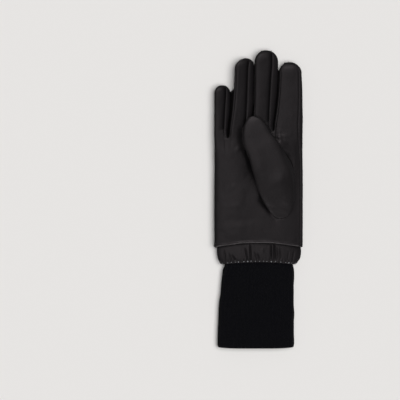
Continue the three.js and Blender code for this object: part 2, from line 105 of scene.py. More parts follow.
def bumps(x, y, cell, seed):
    # smooth random bumps about one cell wide, from -1 to 1, on a lattice turned off the axes
    side = 97  # lattice points before the pattern repeats
    lattice = np.random.default_rng(seed).uniform(-1, 1, (side, side))
    turn = 0.6 + seed  # radians
    u = (x * math.cos(turn) - y * math.sin(turn)) / cell
    v = (x * math.sin(turn) + y * math.cos(turn)) / cell
    column, row = np.floor(u).astype(int), np.floor(v).astype(int)
    u, v = smootherShare(u - column), smootherShare(v - row)
    across, up = (column + 1) % side, (row + 1) % side
    column, row = column % side, row % side
    lower = lerp(lattice[column, row], lattice[across, row], u)
    upper = lerp(lattice[column, up], lattice[across, up], u)
    return lerp(lower, upper, v)


def through(rows, at):
    # smooth curve through a table's rows, at row numbers that may be fractions
    rows = np.asarray(rows, float)
    at = np.asarray(at, float)
    last = len(rows) - 1
    start = np.clip(np.floor(at).astype(int), 0, last - 1)
    part = (at - start)[:, None]
    a, b = rows[start], rows[start + 1]
    slopeA = np.where(start[:, None] > 0, (b - rows[np.maximum(start - 1, 0)]) / 2, b - a)
    slopeB = np.where(start[:, None] < last - 1, (rows[np.minimum(start + 2, last)] - a) / 2, b - a)
    square, cube = part**2, part**3
    ends = (2 * cube - 3 * square + 1) * a + (3 * square - 2 * cube) * b
    return ends + (cube - 2 * square + part) * slopeA + (cube - square) * slopeB


def segmentDistance(x, y, x0, y0, x1, y1):
    # distance to a straight crease, and the share of the way along it
    dx, dy = x1 - x0, y1 - y0
    share = np.clip(((x - x0) * dx + (y - y0) * dy) / (dx * dx + dy * dy), 0, 1)
    return np.hypot(x - x0 - share * dx, y - y0 - share * dy), share


creaseEnds = 0.35  # depth of a crease at its ends, as a share of its depth midway


def creaseHeight(x, y, creases):
    # grooves, or ridges where the depth is negative, that run out towards both ends
    height = np.zeros(np.broadcast(x, y).shape)
    for x0, y0, x1, y1, depth, width in creases:
        distance, share = segmentDistance(x, y, x0, y0, x1, y1)
        height -= depth * hump(distance, width) * lerp(creaseEnds, 1, np.sin(np.pi * share))
    return height


def foldHeight(x, y, folds):
    # soft swells: middle, heading in degrees from +X, half length, half width and height
    height = np.zeros(np.broadcast(x, y).shape)
    for foldX, foldY, heading, long, wide, lift in folds:
        turn = math.radians(heading)
        along = (x - foldX) * math.cos(turn) + (y - foldY) * math.sin(turn)
        aside = (y - foldY) * math.cos(turn) - (x - foldX) * math.sin(turn)
        height += lift * np.exp(-((along / long) ** 2) - (aside / wide) ** 2)
    return height


# Materials
def linear(hexText):
    # linear colour from its sRGB hex code
    parts = [int(hexText[at : at + 2], 16) / 255 for at in (1, 3, 5)]
    return [c / 12.92 if c <= 0.04045 else ((c + 0.055) / 1.055) ** 2.4 for c in parts] + [1]


def addNode(tree, kind, inputs=None, **settings):
    node = tree.nodes.new(kind)
    for name, value in settings.items():
        setattr(node, name, value)
    for name, value in (inputs or {}).items():
        if isinstance(value, bpy.types.NodeSocket):
            tree.links.new(value, node.inputs[name])
        else:
            node.inputs[name].default_value = value
    return node


def startMaterial(name):
    material = bpy.data.materials.new(name)
    material.use_nodes = True
    material.node_tree.nodes.clear()
    return material, material.node_tree


# Nappa lambskin, drum dyed black and lightly plated: a soft satin gloss over fine pores. It is drawn
# a little greyer along seams, welts and the hem rim, partly as wear and partly as painted highlight,
# and at the crumpled spot by the thumb as painted highlight; the thumb is drawn darker close to the
# palm, as painted shade
nappa = {
    "colour": "#0e0d0e",
    "wearAndPaintedLight": "#1d1b1c",
    "cloud": 26,
    "pore": 0.9,  # real pores are about 0.3 mm apart, which is too fine to show
    "poreDepth": 0.05,
    "crinkle": 5,
    "crinkleDepth": 0.12,
    "glossy": 0.45,
    "dull": 0.53,
    "ior": 1.45,
    "specular": 0.5,
    "glossTint": "#fff3f7",
}


def makeNappa():
    material, tree = startMaterial("nappaLambskinBlack")
    place = addNode(tree, "ShaderNodeTexCoord").outputs["Object"]
    cloud = addNode(
        tree,
        "ShaderNodeTexNoise",
        {"Vector": place, "Scale": 1 / (nappa["cloud"] * mm), "Detail": 3},
    )
    pores = addNode(tree, "ShaderNodeTexVoronoi", {"Vector": place, "Scale": 1 / (nappa["pore"] * mm)})
    crinkle = addNode(
        tree,
        "ShaderNodeTexNoise",
        {
            "Vector": place,
            "Scale": 1 / (nappa["crinkle"] * mm),
            "Detail": 5,
            "Roughness": 0.55,
            "Distortion": 0.5,
        },
    )
    # share of the lighter colour: partly wear, partly painted highlight and painted shade
    wearAndPaintedLight = addNode(tree, "ShaderNodeAttribute", attribute_name="wearAndPaintedLight")
    share = addNode(
        tree,
        "ShaderNodeMath",
        {0: wearAndPaintedLight.outputs["Fac"], 1: cloud.outputs["Fac"]},
        operation="MULTIPLY",
    )
    colour = addNode(
        tree,
        "ShaderNodeMix",
        {0: share.outputs[0], 6: linear(nappa["colour"]), 7: linear(nappa["wearAndPaintedLight"])},
        data_type="RGBA",
    )
    roughness = addNode(
        tree,
        "ShaderNodeMapRange",
        {
            "Value": cloud.outputs["Fac"],
            "From Min": 0.3,
            "From Max": 0.7,
            "To Min": nappa["glossy"],
            "To Max": nappa["dull"],
        },
    )
    poreBump = addNode(
        tree,
        "ShaderNodeBump",
        {"Height": pores.outputs["Distance"], "Distance": nappa["poreDepth"] * mm},
    )
    crinkleBump = addNode(
        tree,
        "ShaderNodeBump",
        {
            "Height": crinkle.outputs["Fac"],
            "Distance": nappa["crinkleDepth"] * mm,
            "Normal": poreBump.outputs["Normal"],
        },
    )
    surface = addNode(
        tree,
        "ShaderNodeBsdfPrincipled",
        {
            "Base Color": colour.outputs[2],
            "Roughness": roughness.outputs["Result"],
            "IOR": nappa["ior"],
            "Specular IOR Level": nappa["specular"],
            "Specular Tint": linear(nappa["glossTint"]),
            "Normal": crinkleBump.outputs["Normal"],
        },
    )
    addNode(tree, "ShaderNodeOutputMaterial", {"Surface": surface.outputs["BSDF"]})
    return material


# Flesh side of the same skin, buffed: a matt, slightly hairy nap that only shows inside the openings
flesh = {"colour": "#2a2628", "nap": 1.2, "napDepth": 0.12, "roughness": 0.95, "sheen": 0.25}


def makeFleshSide():
    material, tree = startMaterial("buffedFleshSide")
    place = addNode(tree, "ShaderNodeTexCoord").outputs["Object"]
    nap = addNode(
        tree,
        "ShaderNodeTexNoise",
        {"Vector": place, "Scale": 1 / (flesh["nap"] * mm), "Detail": 4},
    )
    bump = addNode(
        tree,
        "ShaderNodeBump",
        {"Height": nap.outputs["Fac"], "Distance": flesh["napDepth"] * mm},
    )
    surface = addNode(
        tree,
        "ShaderNodeBsdfPrincipled",
        {
            "Base Color": linear(flesh["colour"]),
            "Roughness": flesh["roughness"],
            "Sheen Weight": flesh["sheen"],
            "Normal": bump.outputs["Normal"],
        },
    )
    addNode(tree, "ShaderNodeOutputMaterial", {"Surface": surface.outputs["BSDF"]})
    return material


# Rib knit of black wool and acrylic yarn: matt, bluish black, with a faint fuzz along the ribs.
# The map counts wales across and courses down, so each stitch draws as a V
yarn = {
    "colour": "#050507",
    "fuzz": "#0c0c10",
    "slant": 1.1,
    "stitchDepth": 0.35,
    "stitchFuzz": 0.25,
    "fibre": 0.7,
    "fibreDepth": 0.12,
    "roughness": 0.9,
    "specular": 0.1,
    "sheen": 0.02,
    "sheenRoughness": 0.5,
}


def makeRibKnit():
    material, tree = startMaterial("woolAcrylicRibKnit")
    place = addNode(tree, "ShaderNodeTexCoord").outputs["Object"]
    stitches = addNode(tree, "ShaderNodeUVMap", uv_map="stitches")
    parts = addNode(tree, "ShaderNodeSeparateXYZ", {"Vector": stitches.outputs["UV"]})
    # each leg of a V slants by about half a course over half a wale
    leg = addNode(tree, "ShaderNodeMath", {0: parts.outputs["X"], 1: 0.5}, operation="PINGPONG")
    slanted = addNode(
        tree,
        "ShaderNodeMath",
        {0: leg.outputs[0], 1: yarn["slant"], 2: parts.outputs["Y"]},
        operation="MULTIPLY_ADD",
    )
    turns = addNode(tree, "ShaderNodeMath", {0: slanted.outputs[0], 1: 2 * math.pi}, operation="MULTIPLY")
    wave = addNode(tree, "ShaderNodeMath", {0: turns.outputs[0]}, operation="SINE")
    fibre = addNode(
        tree,
        "ShaderNodeTexNoise",
        {"Vector": place, "Scale": 1 / (yarn["fibre"] * mm), "Detail": 4},
    )
    fuzzy = addNode(
        tree,
        "ShaderNodeMath",
        {0: wave.outputs[0], 1: yarn["stitchFuzz"], 2: fibre.outputs["Fac"]},
        operation="MULTIPLY_ADD",
    )
    colour = addNode(
        tree,
        "ShaderNodeMix",
        {0: fuzzy.outputs[0], 6: linear(yarn["colour"]), 7: linear(yarn["fuzz"])},
        data_type="RGBA",
    )
    stitchBump = addNode(
        tree,
        "ShaderNodeBump",
        {"Height": wave.outputs[0], "Distance": yarn["stitchDepth"] / 2 * mm},
    )
    fibreBump = addNode(
        tree,
        "ShaderNodeBump",
        {
            "Height": fibre.outputs["Fac"],
            "Distance": yarn["fibreDepth"] * mm,
            "Normal": stitchBump.outputs["Normal"],
        },
    )
    surface = addNode(
        tree,
        "ShaderNodeBsdfPrincipled",
        {
            "Base Color": colour.outputs[2],
            "Roughness": yarn["roughness"],
            "Specular IOR Level": yarn["specular"],
            "Sheen Weight": yarn["sheen"],
            "Sheen Roughness": yarn["sheenRoughness"],
            "Normal": fibreBump.outputs["Normal"],
        },
    )
    addNode(tree, "ShaderNodeOutputMaterial", {"Surface": surface.outputs["BSDF"]})
    return material


# Bonded nylon sewing thread: smooth filaments with a satin gloss. Its pale grey colour is a painted
# glint, so that each stitch is a small bright dot
nylon = {"colour": "#8a8a8e", "roughness": 0.35, "ply": 0.25, "plyDepth": 0.04}


def makeNylonThread():
    material, tree = startMaterial("nylonThreadPaintedGlint")
    place = addNode(tree, "ShaderNodeTexCoord").outputs["Object"]
    ply = addNode(
        tree,
        "ShaderNodeTexWave",
        {"Vector": place, "Scale": 1 / (nylon["ply"] * mm)},
        bands_direction="DIAGONAL",
    )
    bump = addNode(
        tree,
        "ShaderNodeBump",
        {"Height": ply.outputs["Fac"], "Distance": nylon["plyDepth"] * mm},
    )
    surface = addNode(
        tree,
        "ShaderNodeBsdfPrincipled",
        {
            "Base Color": linear(nylon["colour"]),
            "Roughness": nylon["roughness"],
            "Normal": bump.outputs["Normal"],
        },
    )
    addNode(tree, "ShaderNodeOutputMaterial", {"Surface": surface.outputs["BSDF"]})
    return material


leatherSides = [makeNappa(), makeFleshSide()]
knit = makeRibKnit()
glintGreyThread = makeNylonThread()
print("materials made")


# Sheets: an outer skin and an inner skin of the same cells, closed by a rounded edge
sheetEdge = {"weld": 1e-3, "steps": 4}


def gridCells(index):
    # the four corners of each cell in a grid of point numbers
    corners = [index[:-1, :-1], index[:-1, 1:], index[1:, 1:], index[1:, :-1]]
    return np.stack(corners, -1).reshape(-1, 4)


def joinGrids(grids):
    # one skin from grids of (outer, inner, turned) points that meet
    outers, inners, cells, start = [], [], [], 0
    for outer, inner, turned in grids:
        index = start + np.arange(outer.shape[0] * outer.shape[1]).reshape(outer.shape[:2])
        corners = gridCells(index)
        cells.append(corners[:, ::-1] if turned else corners)
        outers.append(outer.reshape(-1, 3))
        inners.append(inner.reshape(-1, 3))
        start += index.size
    outer, inner, cells = np.concatenate(outers), np.concatenate(inners), np.concatenate(cells)
    keys = np.round(outer / sheetEdge["weld"]).astype(np.int64)
    _, first, place = np.unique(keys, axis=0, return_index=True, return_inverse=True)
    place = place.reshape(-1)
    return {"outer": outer[first], "inner": inner[first], "cells": place[cells], "place": place}


def pointNormals(points, cells):
    a, b, c, d = (points[cells[:, corner]] for corner in range(4))
    facing = np.cross(c - a, d - b)
    normals = np.zeros_like(points)
    for corner in range(4):
        np.add.at(normals, cells[:, corner], facing)
    return unit(normals)


def freeEdges(cells):
    pairs = np.concatenate([cells[:, [corner, (corner + 1) % 4]] for corner in range(4)])
    pairs = pairs[pairs[:, 0] != pairs[:, 1]]
    count = cells.max() + 1
    return pairs[~np.isin(pairs[:, 0] * count + pairs[:, 1], pairs[:, 1] * count + pairs[:, 0])]


def edgeDistance(skin, edges):
    # distance of each point of a skin to the chosen free edges
    start, end = skin["outer"][edges[:, 0]], skin["outer"][edges[:, 1]]
    samples = np.concatenate([lerp(start, end, share) for share in (0, 0.25, 0.5, 0.75)])
    tree = KDTree(len(samples))
    for number, place in enumerate(samples):
        tree.insert(place, number)
    tree.balance()
    return np.array([tree.find(place)[2] for place in skin["outer"]])


def addRelief(skin, height, onInner=True):
    # moves a skin along its normals
    normals = pointNormals(skin["outer"], skin["cells"])
    skin["outer"] = skin["outer"] + normals * height[:, None]
    if onInner:
        skin["inner"] = skin["inner"] + normals * height[:, None]


def keepOnSurface(points):
    points[:, 2] = np.maximum(points[:, 2], 0)


def linkMesh(name, points, faces, materials):
    # a smooth mesh in the scene, from points in millimetres; a corner named twice counts once
    mesh = bpy.data.meshes.new(name)
    mesh.from_pydata((points * mm).tolist(), [], [list(dict.fromkeys(face)) for face in faces.tolist()])
    for material in materials:
        mesh.materials.append(material)
    mesh.polygons.foreach_set("use_smooth", np.ones(len(faces), bool))
    mesh.update()
    piece = bpy.data.objects.new(name, mesh)
    bpy.context.scene.collection.objects.link(piece)
    return piece


def sheetRim(skin, rounding):
    # rings of points round the free edges, which bulge out by the rounding, and the cells between them
    outer, inner = skin["outer"], skin["inner"]
    count = len(outer)
    edges = freeEdges(skin["cells"])
    normals = pointNormals(outer, skin["cells"])
    along = outer[edges[:, 1]] - outer[edges[:, 0]]
    away = np.zeros_like(outer)
    for corner in range(2):
        np.add.at(away, edges[:, corner], unit(np.cross(along, normals[edges[:, corner]])))
    rim = np.unique(edges)
    middle = (outer[rim] + inner[rim]) / 2
    bulge = unit(away[rim]) * np.broadcast_to(rounding, count)[rim, None]
    rings = []
    for step in range(1, sheetEdge["steps"]):
        turn = np.pi * step / sheetEdge["steps"]
        rings.append(middle + (outer[rim] - middle) * math.cos(turn) + bulge * math.sin(turn))
    ringPlaces = [2 * count + step * len(rim) + np.arange(len(rim)) for step in range(len(rings))]
    levels = [rim, *ringPlaces, count + rim]
    start, end = np.searchsorted(rim, edges).T
    cells = []
    for upper, lower in zip(levels, levels[1:]):
        cells.append(np.stack([upper[end], upper[start], lower[start], lower[end]], 1))
    return rim, rings, np.concatenate(cells)


def makeSheet(name, skin, materials, rounding, maps=None, wearAndPaintedLight=None):
    # the closed mesh of a sheet; rounding is one number or one for each point, and the last
    # material is for the inner side
    cells, count = skin["cells"], len(skin["outer"])
    rim, rings, edgeCells = sheetRim(skin, rounding)
    faces = np.concatenate([cells, edgeCells, count + cells[:, ::-1]])
    piece = linkMesh(name, np.concatenate([skin["outer"], skin["inner"], *rings]), faces, materials)
    mesh = piece.data
    slots = np.zeros(len(faces), int)
    slots[-len(cells) :] = len(materials) - 1
    mesh.polygons.foreach_set("material_index", slots)
    # the share of the lighter leather colour, for wear, painted highlight and painted shade, is kept on each
    # point
    if wearAndPaintedLight is not None:
        values = np.concatenate([wearAndPaintedLight, wearAndPaintedLight, *[wearAndPaintedLight[rim]] * len(rings)])
        mesh.attributes.new("wearAndPaintedLight", "FLOAT", "POINT").data.foreach_set("value", values)
    if maps is not None:
        cornerMaps = np.concatenate([maps, np.zeros((len(edgeCells), 4, 2)), maps[:, ::-1]])
        mesh.uv_layers.new(name="stitches").data.foreach_set("uv", cornerMaps.reshape(-1))
    mesh.update()
    return piece


# Sections of the hand and the fingers, with the measures of the CAD model. A section's power is
# its squareness (2 is an ellipse), and pressed is how far it would reach below the surface, which
# flattens its underside. A row is a ring of points across the sheet, and bunching draws rows or
# columns together near the seams
leatherWall = 1.2  # with its lining

hand = {
    "halfWidth": 45.4,
    "middleZ": 6,
    "above": 8.2,
    "pressed": 0.9,
    "power": 2.9,
    "hemY": -43.6,
    "hemDrop": 5,  # how far the hem falls off towards its sides
    "hemFold": 1.0,  # added thickness
    "hemMargin": 0.3,
    "foldFrom": 0.92,
    "foldTo": 0.98,
    "spread": 0.36,  # share of the hand over which the finger roots spread into its section
    "level": 0.22,  # the same for their heights
    "indexSeam": 23,  # angles on the section where palm and back meet
    "littleSeam": 211,
    "seamGap": 0.35,
    "rows": 150,
    "bunching": 0.7,
    "crotchCells": 10,
    "crotchDip": 7,
}

# Lengths along a finger are shares, from 0 at its root to 1 at its tip
fingerShape = {
    "midAt": 0.45,
    "endAt": 0.8,
    "dome": 0.95,  # length of the rounded tip, in half widths
    "middleZ": 0.45,
    "pressed": 0.8,
    "domePower": 1.95,
    "power": 3.0,
    "crispPower": 4.5,  # of the upper left flank, which has the crisp seam
    "bluntness": 0.995,
    "bodyRows": 76,
    "domeRows": 24,
    "bunching": 0.45,
}

# Places across a finger are half widths or angles, and taper and parting are shares of its dome
fingerSeam = {
    "rootEdge": 0.91,
    "backAlong": 3,
    "rolledAt": 0.4,
    "gap": 0.6,
    "taperFrom": -0.4,
    "taperTo": 1.0,
    "stripEnd": 0.93,
    "parting": 0.75,
    "partingGap": 0.2,
    "crotchInset": 1.8,
    "indexWrap": 0.9,  # the back's reach round the index side, as a share of the seam's angle
}

# Fingers from the little finger to the index. x and half are the middle and the half width at the
# root, midway and at the end of the straight part, tip is where the fingertip lies, and root is
# the Y of the left and the right of the root. seam is how far to the right the seam on the palm
# side lies, in half widths, and edge the same for the palm side's left edge. tilt is the lean of
# the palm side of an empty finger, as a share of its height
fingerTable = {
    "x": ((-38.85, -37.55, -37.3), (-18.45, -15.7, -14.8), (4.7, 7.3, 8), (30.75, 32.7, 32.85)),
    "half": ((6.55, 7.75, 8), (11.3, 10.45, 9.8), (10.5, 11.7, 12), (14.45, 12.5, 11.35)),
    "tip": ((-37.1, 117), (-12.6, 144.7), (8.0, 152.9), (31.8, 140.7)),
    "root": ((68, 70), (70, 72), (72, 77), (77, 76)),
    "height": (11, 12, 12.5, 12.5),
    "seam": ((0.50, 0.33, 0.44), (0.45, 0.36, 0.38), (0.52, 0.37, 0.46), (0.655, 0.69, 0.76)),
    "edge": (0.97, 0.84, 0.97, 0.92),
    "tilt": (-0.08, -0.34, -0.18, 0),
}
fingers = [dict(zip(fingerTable, row)) for row in zip(*fingerTable.values())]
fingerCells = {"palm": [28, 26, 26, 30], "back": [26, 24, 24, 34]}


def sectionPoint(angle, half, above, below, power):
    # point of a rounded section, as its place across and its height from the middle
    cosine, sine = np.cos(np.radians(angle)), np.sin(np.radians(angle))
    across = np.sign(cosine) * np.abs(cosine) ** (2 / power)
    upward = np.sign(sine) * np.abs(sine) ** (2 / power)
    return half * across, np.where(upward > 0, above, below) * upward


def alongFinger(stations, share):
    midAt, endAt = fingerShape["midAt"], fingerShape["endAt"]
    at = np.minimum(share, endAt)
    fromRoot = stations[0] * (at - midAt) * (at - endAt) / (midAt * endAt)
    fromMid = stations[1] * at * (at - endAt) / (midAt * (midAt - endAt))
    return fromRoot + fromMid + stations[2] * at * (at - midAt) / (endAt * (endAt - midAt))


def domeStart(one):
    return 1 - fingerShape["dome"] * one["half"][2] / (one["tip"][1] - one["root"][1])


def domeShare(one, share):
    return (share - domeStart(one)) / (1 - domeStart(one))


def domeNarrowing(one, share):
    power = fingerShape["domePower"]
    inDome = np.clip(domeShare(one, share), 0, 1)
    return (1 - (inDome * fingerShape["bluntness"]) ** power) ** (1 / power)


def fingerMiddle(one):
    return one["height"] * fingerShape["middleZ"]


def fingerPoint(one, angle, share, depth):
    domePower = fingerShape["domePower"]
    inDome = np.clip(domeShare(one, share), 0, 1)
    flattening = np.maximum(1 - inDome**domePower, 0) ** (1 / domePower)
    toTip = np.maximum(0, (share - fingerShape["endAt"]) / (1 - fingerShape["endAt"])) ** 2
    half = alongFinger(one["half"], share)
    width = (half - depth) * domeNarrowing(one, share)
    middleZ = fingerMiddle(one)
    above = (one["height"] - middleZ - depth) * flattening
    below = (middleZ + fingerShape["pressed"] - depth) * flattening
    crisp = (angle > 90) & (angle < 180)
    power = np.where(crisp, fingerShape["crispPower"], fingerShape["power"])
    x, z = sectionPoint(angle, width, above, below, power)
    z = z + np.maximum(z, 0) * one["tilt"] * x / width
    rootY = lerp(*one["root"], np.clip(0.5 + x / (2 * half), 0, 1))
    y = lerp(rootY, one["tip"][1] - depth, share)
    middleX = lerp(alongFinger(one["x"], share), one["tip"][0], toTip)
    return point3(middleX + x, y, np.maximum(middleZ + z, depth * flattening))


def sideAngle(sideways, power=fingerShape["power"]):
    # angle at which a section passes over a place, from 0 at its edge
    return np.degrees(np.arccos(np.clip(sideways, 0, 1) ** (power / 2)))


def seamAngles(number, share):
    # seams on one finger: right and left edges of the palm, left and right edges of the back
    one = fingers[number]
    rolled = smoothstep(share, 0, fingerSeam["rolledAt"])
    width = 1 - smoothstep(domeShare(one, share), fingerSeam["taperFrom"], fingerSeam["taperTo"])
    seamAngle = sideAngle(alongFinger(one["seam"], share) / domeNarrowing(one, share))
    backAngle = lerp(-sideAngle(fingerSeam["rootEdge"]), fingerSeam["backAlong"], rolled) * width
    edge = lerp(fingerSeam["rootEdge"], one["edge"], rolled)
    edgeAngle = sideAngle(edge, fingerShape["crispPower"]) * width
    isLittle, isIndex = number == 0, number == len(fingers) - 1
    wrap = fingerSeam["indexWrap"] if isIndex else 1
    outerLittle = 180 + sideAngle(fingers[1]["seam"][1] / domeNarrowing(one, share))
    return {
        "palmRight": seamAngle,
        "palmLeft": outerLittle if isLittle else 180 - edgeAngle,
        "backLeft": outerLittle if isLittle else 180 + seamAngle * wrap,
        "backRight": 360 + (seamAngle if isIndex else backAngle),
    }


def panelFingerPoint(side, number, across, share, depth):
    one, seams, gap = fingers[number], seamAngles(number, share), fingerSeam["gap"]
    if side == "palm":
        angle = lerp(seams["palmLeft"] - gap, seams["palmRight"] + gap, across)
    else:
        angle = lerp(seams["backLeft"] + gap, seams["backRight"] - gap, across)
    place = fingerPoint(one, angle, share, depth)
    # at the fingertip the two panels part at the middle of its height
    half = fingerSeam["partingGap"] / 2
    if side == "palm":
        parted = np.maximum(place[..., 2], fingerMiddle(one) + half)
    else:
        parted = np.minimum(place[..., 2], fingerMiddle(one) - half)
    place[..., 2] = np.where(domeShare(one, share) >= fingerSeam["parting"], parted, place[..., 2])
    return place


def crotchPoint(number, around, across, depth):
    # around runs from a finger to the next, across from palm to back
    gap = fingerSeam["gap"]
    left, right = seamAngles(number, 0.0), seamAngles(number + 1, 0.0)
    leftAngle = lerp(left["palmRight"] + gap, left["backRight"] - 360 - gap, across)
    rightAngle = lerp(right["palmLeft"] - gap, right["backLeft"] + gap, across)
    start = fingerPoint(fingers[number], leftAngle, 0.0, depth)
    end = fingerPoint(fingers[number + 1], rightAngle, 0.0, depth)
    place = lerp(start, end, ((1 - np.cos(np.pi * around)) / 2)[..., None])
    place[..., 1] -= (hand["crotchDip"] + depth) * np.sin(np.pi * around)
    return place


def handAngle(side, x):
    share = x / hand["halfWidth"]
    angle = np.degrees(np.arccos(np.sign(share) * np.abs(share) ** (hand["power"] / 2)))
    return angle if side == "palm" else 360 - angle


def handPoint(angle, y, depth):
    below = hand["middleZ"] + hand["pressed"] - depth
    x, z = sectionPoint(angle, hand["halfWidth"] - depth, hand["above"] - depth, below, hand["power"])
    return point3(x, y, np.maximum(hand["middleZ"] + z, depth))


def palmHeight(x, y):
    return handPoint(handAngle("palm", x), y, 0)[..., 2]


def hemLine(x):
    return hand["hemY"] - hand["hemDrop"] * (x / hand["halfWidth"]) ** 2


def panelColumns(side):
    # across and around of each column at the finger roots, and its angle on the hand
    columns, angles = [], []
    gap = -hand["seamGap"] if side == "palm" else hand["seamGap"]
    last = len(fingers) - 1
    for number in range(len(fingers)):
        start = panelFingerPoint(side, number, 0.0, 0.0, 0)[0]
        end = panelFingerPoint(side, number, 1.0, 0.0, 0)[0]
        fromAngle = hand["littleSeam"] + gap if number == 0 else handAngle(side, start)
        indexSeam = hand["indexSeam"] + (0 if side == "palm" else 360)
        toAngle = indexSeam - gap if number == last else handAngle(side, end)
        shares = bunched(fingerCells[side][number], fingerShape["bunching"])
        columns += [("finger", number, share) for share in shares]
        angles += list(lerp(fromAngle, toAngle, shares))
        if number < last:
            nextAngle = handAngle(side, panelFingerPoint(side, number + 1, 0.0, 0.0, 0)[0])
            shares = np.linspace(0, 1, hand["crotchCells"] + 1)[1:-1]
            columns += [("crotch", number, share) for share in shares]
            angles += list(lerp(toAngle, nextAngle, shares))
    return columns, np.array(angles)


def panelRoots(side, columns, depth):
    places = []
    for kind, number, share in columns:
        if kind == "finger":
            places.append(panelFingerPoint(side, number, np.array(share), np.array(0.0), depth))
        else:
            places.append(crotchPoint(number, np.array(share), 0.0 if side == "palm" else 1.0, depth))
    return np.array(places)


def handGrid(side, depth):
    columns, angles = panelColumns(side)
    roots = panelRoots(side, columns, depth)[None]
    angles = angles[None]
    share = bunched(hand["rows"], hand["bunching"])[:, None]
    inset = depth
    if depth > 0:
        # the hem is folded over, so it is thicker
        inset = depth + hand["hemFold"] * smoothstep(share, hand["foldFrom"], hand["foldTo"])
    target = handPoint(angles, roots[..., 1], inset)
    y = lerp(roots[..., 1], hemLine(target[..., 0]), share)
    place = handPoint(angles, y, inset)
    x = lerp(roots[..., 0], place[..., 0], smoothstep(share, 0, hand["spread"]))
    return point3(x, y, lerp(roots[..., 2], place[..., 2], smoothstep(share, 0, hand["level"])))


def fingerRows(one):
    start = domeStart(one)
    body = np.linspace(0, start, fingerShape["bodyRows"] + 1)
    turns = np.linspace(0, np.pi / 2, fingerShape["domeRows"] + 1)[1:]
    return np.concatenate([body, start + (1 - start) * np.sin(turns)])


def panelSkin(side):
    turned = side == "back"
    grids = [(handGrid(side, 0), handGrid(side, leatherWall), not turned)]
    for number, one in enumerate(fingers):
        across = bunched(fingerCells[side][number], fingerShape["bunching"])[None]
        share = fingerRows(one)[:, None]
        skins = [panelFingerPoint(side, number, across, share, depth) for depth in (0, leatherWall)]
        grids.append((*skins, turned))
    return joinGrids(grids)


# Seams: the edges of two pieces turn in side by side, so each rolls down into a narrow valley,
# puckered between the stitches
seam = {
    "roll": 0.75,
    "width": 1.4,
    "welt": 0.16,
    "weltAt": 2.1,
    "weltWidth": 1.2,
    "pucker": 0.1,
    "puckerReach": 1.8,
    "stitch": 3.6,
    "wrinkle": 5,
    "seed": 71,
    "deep": 2.0,
    "rootMargin": 0.04,
    "tipMargin": 3,
    "deepInPanel": 3.6,
    "deepInStrip": 1.1,
    "softFrom": 6,
    "edgeRound": 0.08,
    # how much lighter the leather is drawn, as a share: a little everywhere as wear, most along welts as
    # wear and painted highlight, and along the hem rim as painted highlight
    "wornLeast": 0.25,
    "wearAndSheenAt": 1.4,
    "wearAndSheenWidth": 1.0,
    "paintedHemSheen": 0.8,
    "paintedHemSheenWidth": 2,
}


def rolledIn(distance, width):
    # share of its depth by which an edge has rolled in, steeply at the last
    return np.clip(1 - distance / width, 0, 1) ** 2


def rollSeams(skin, distance, deepEdges=None, deepWidth=1.0):
    # along the deep edges the leather rounds down to the seam without a welt
    near = np.zeros(len(distance))
    if deepEdges is not None:
        near = 1 - smoothstep(edgeDistance(skin, deepEdges) - distance, 0, 1)
    turnedIn = -seam["roll"] * rolledIn(distance, seam["width"])
    deep = -seam["deep"] * rolledIn(distance, deepWidth)
    welt = seam["welt"] * hump(distance - seam["weltAt"], seam["weltWidth"])
    x, y, _ = skin["outer"].T
    ripple = np.cos(2 * np.pi * y / seam["stitch"]) + bumps(x, y, seam["wrinkle"], seam["seed"])
    addRelief(skin, deep * near + seam["pucker"] * ripple * hump(distance, seam["puckerReach"]))
    addRelief(skin, (turnedIn + welt) * (1 - near), onInner=False)
    return near


def rightSeams(skin, edges):
    # the sewn edges on the right flanks of the fingers
    x, y, z = ((skin["outer"][edges[:, 0]] + skin["outer"][edges[:, 1]]) / 2).T
    chosen = np.zeros(len(edges), bool)
    for one in fingers[:-1]:
        share = (y - one["root"][1]) / (one["tip"][1] - one["root"][1])
        aside = x - alongFinger(one["x"], np.clip(share, 0, 1))
        onFinger = (share > seam["rootMargin"]) & (one["tip"][1] - y > seam["tipMargin"])
        chosen |= onFinger & (z > hand["middleZ"]) & (aside > 0) & (aside < one["half"][1])
    return edges[chosen]


# lighter along the welts beside a seam: partly wear, partly painted highlight
def weltWearAndSheen(distance):
    return lerp(seam["wornLeast"], 1, hump(distance - seam["wearAndSheenAt"], seam["wearAndSheenWidth"]))


# painted highlight along the hem's rounded rim
def paintedHemSheen(hemDistance):
    return seam["paintedHemSheen"] * hump(hemDistance, seam["paintedHemSheenWidth"])


sideShift = (2.3, 0.7)  # how far the swells' pattern moves in X and Y for each mm of height


def softness(skin, layers, seed):
    # uneven stretch of the skin: broad and small swells, on its upright sides too
    x, y, z = skin["outer"].T
    height = np.zeros(len(x))
    shiftX, shiftY = sideShift
    for number, (cell, lift) in enumerate(layers):
        height += lift * bumps(x + shiftX * z, y + shiftY * z, cell, seed + number)
    return height


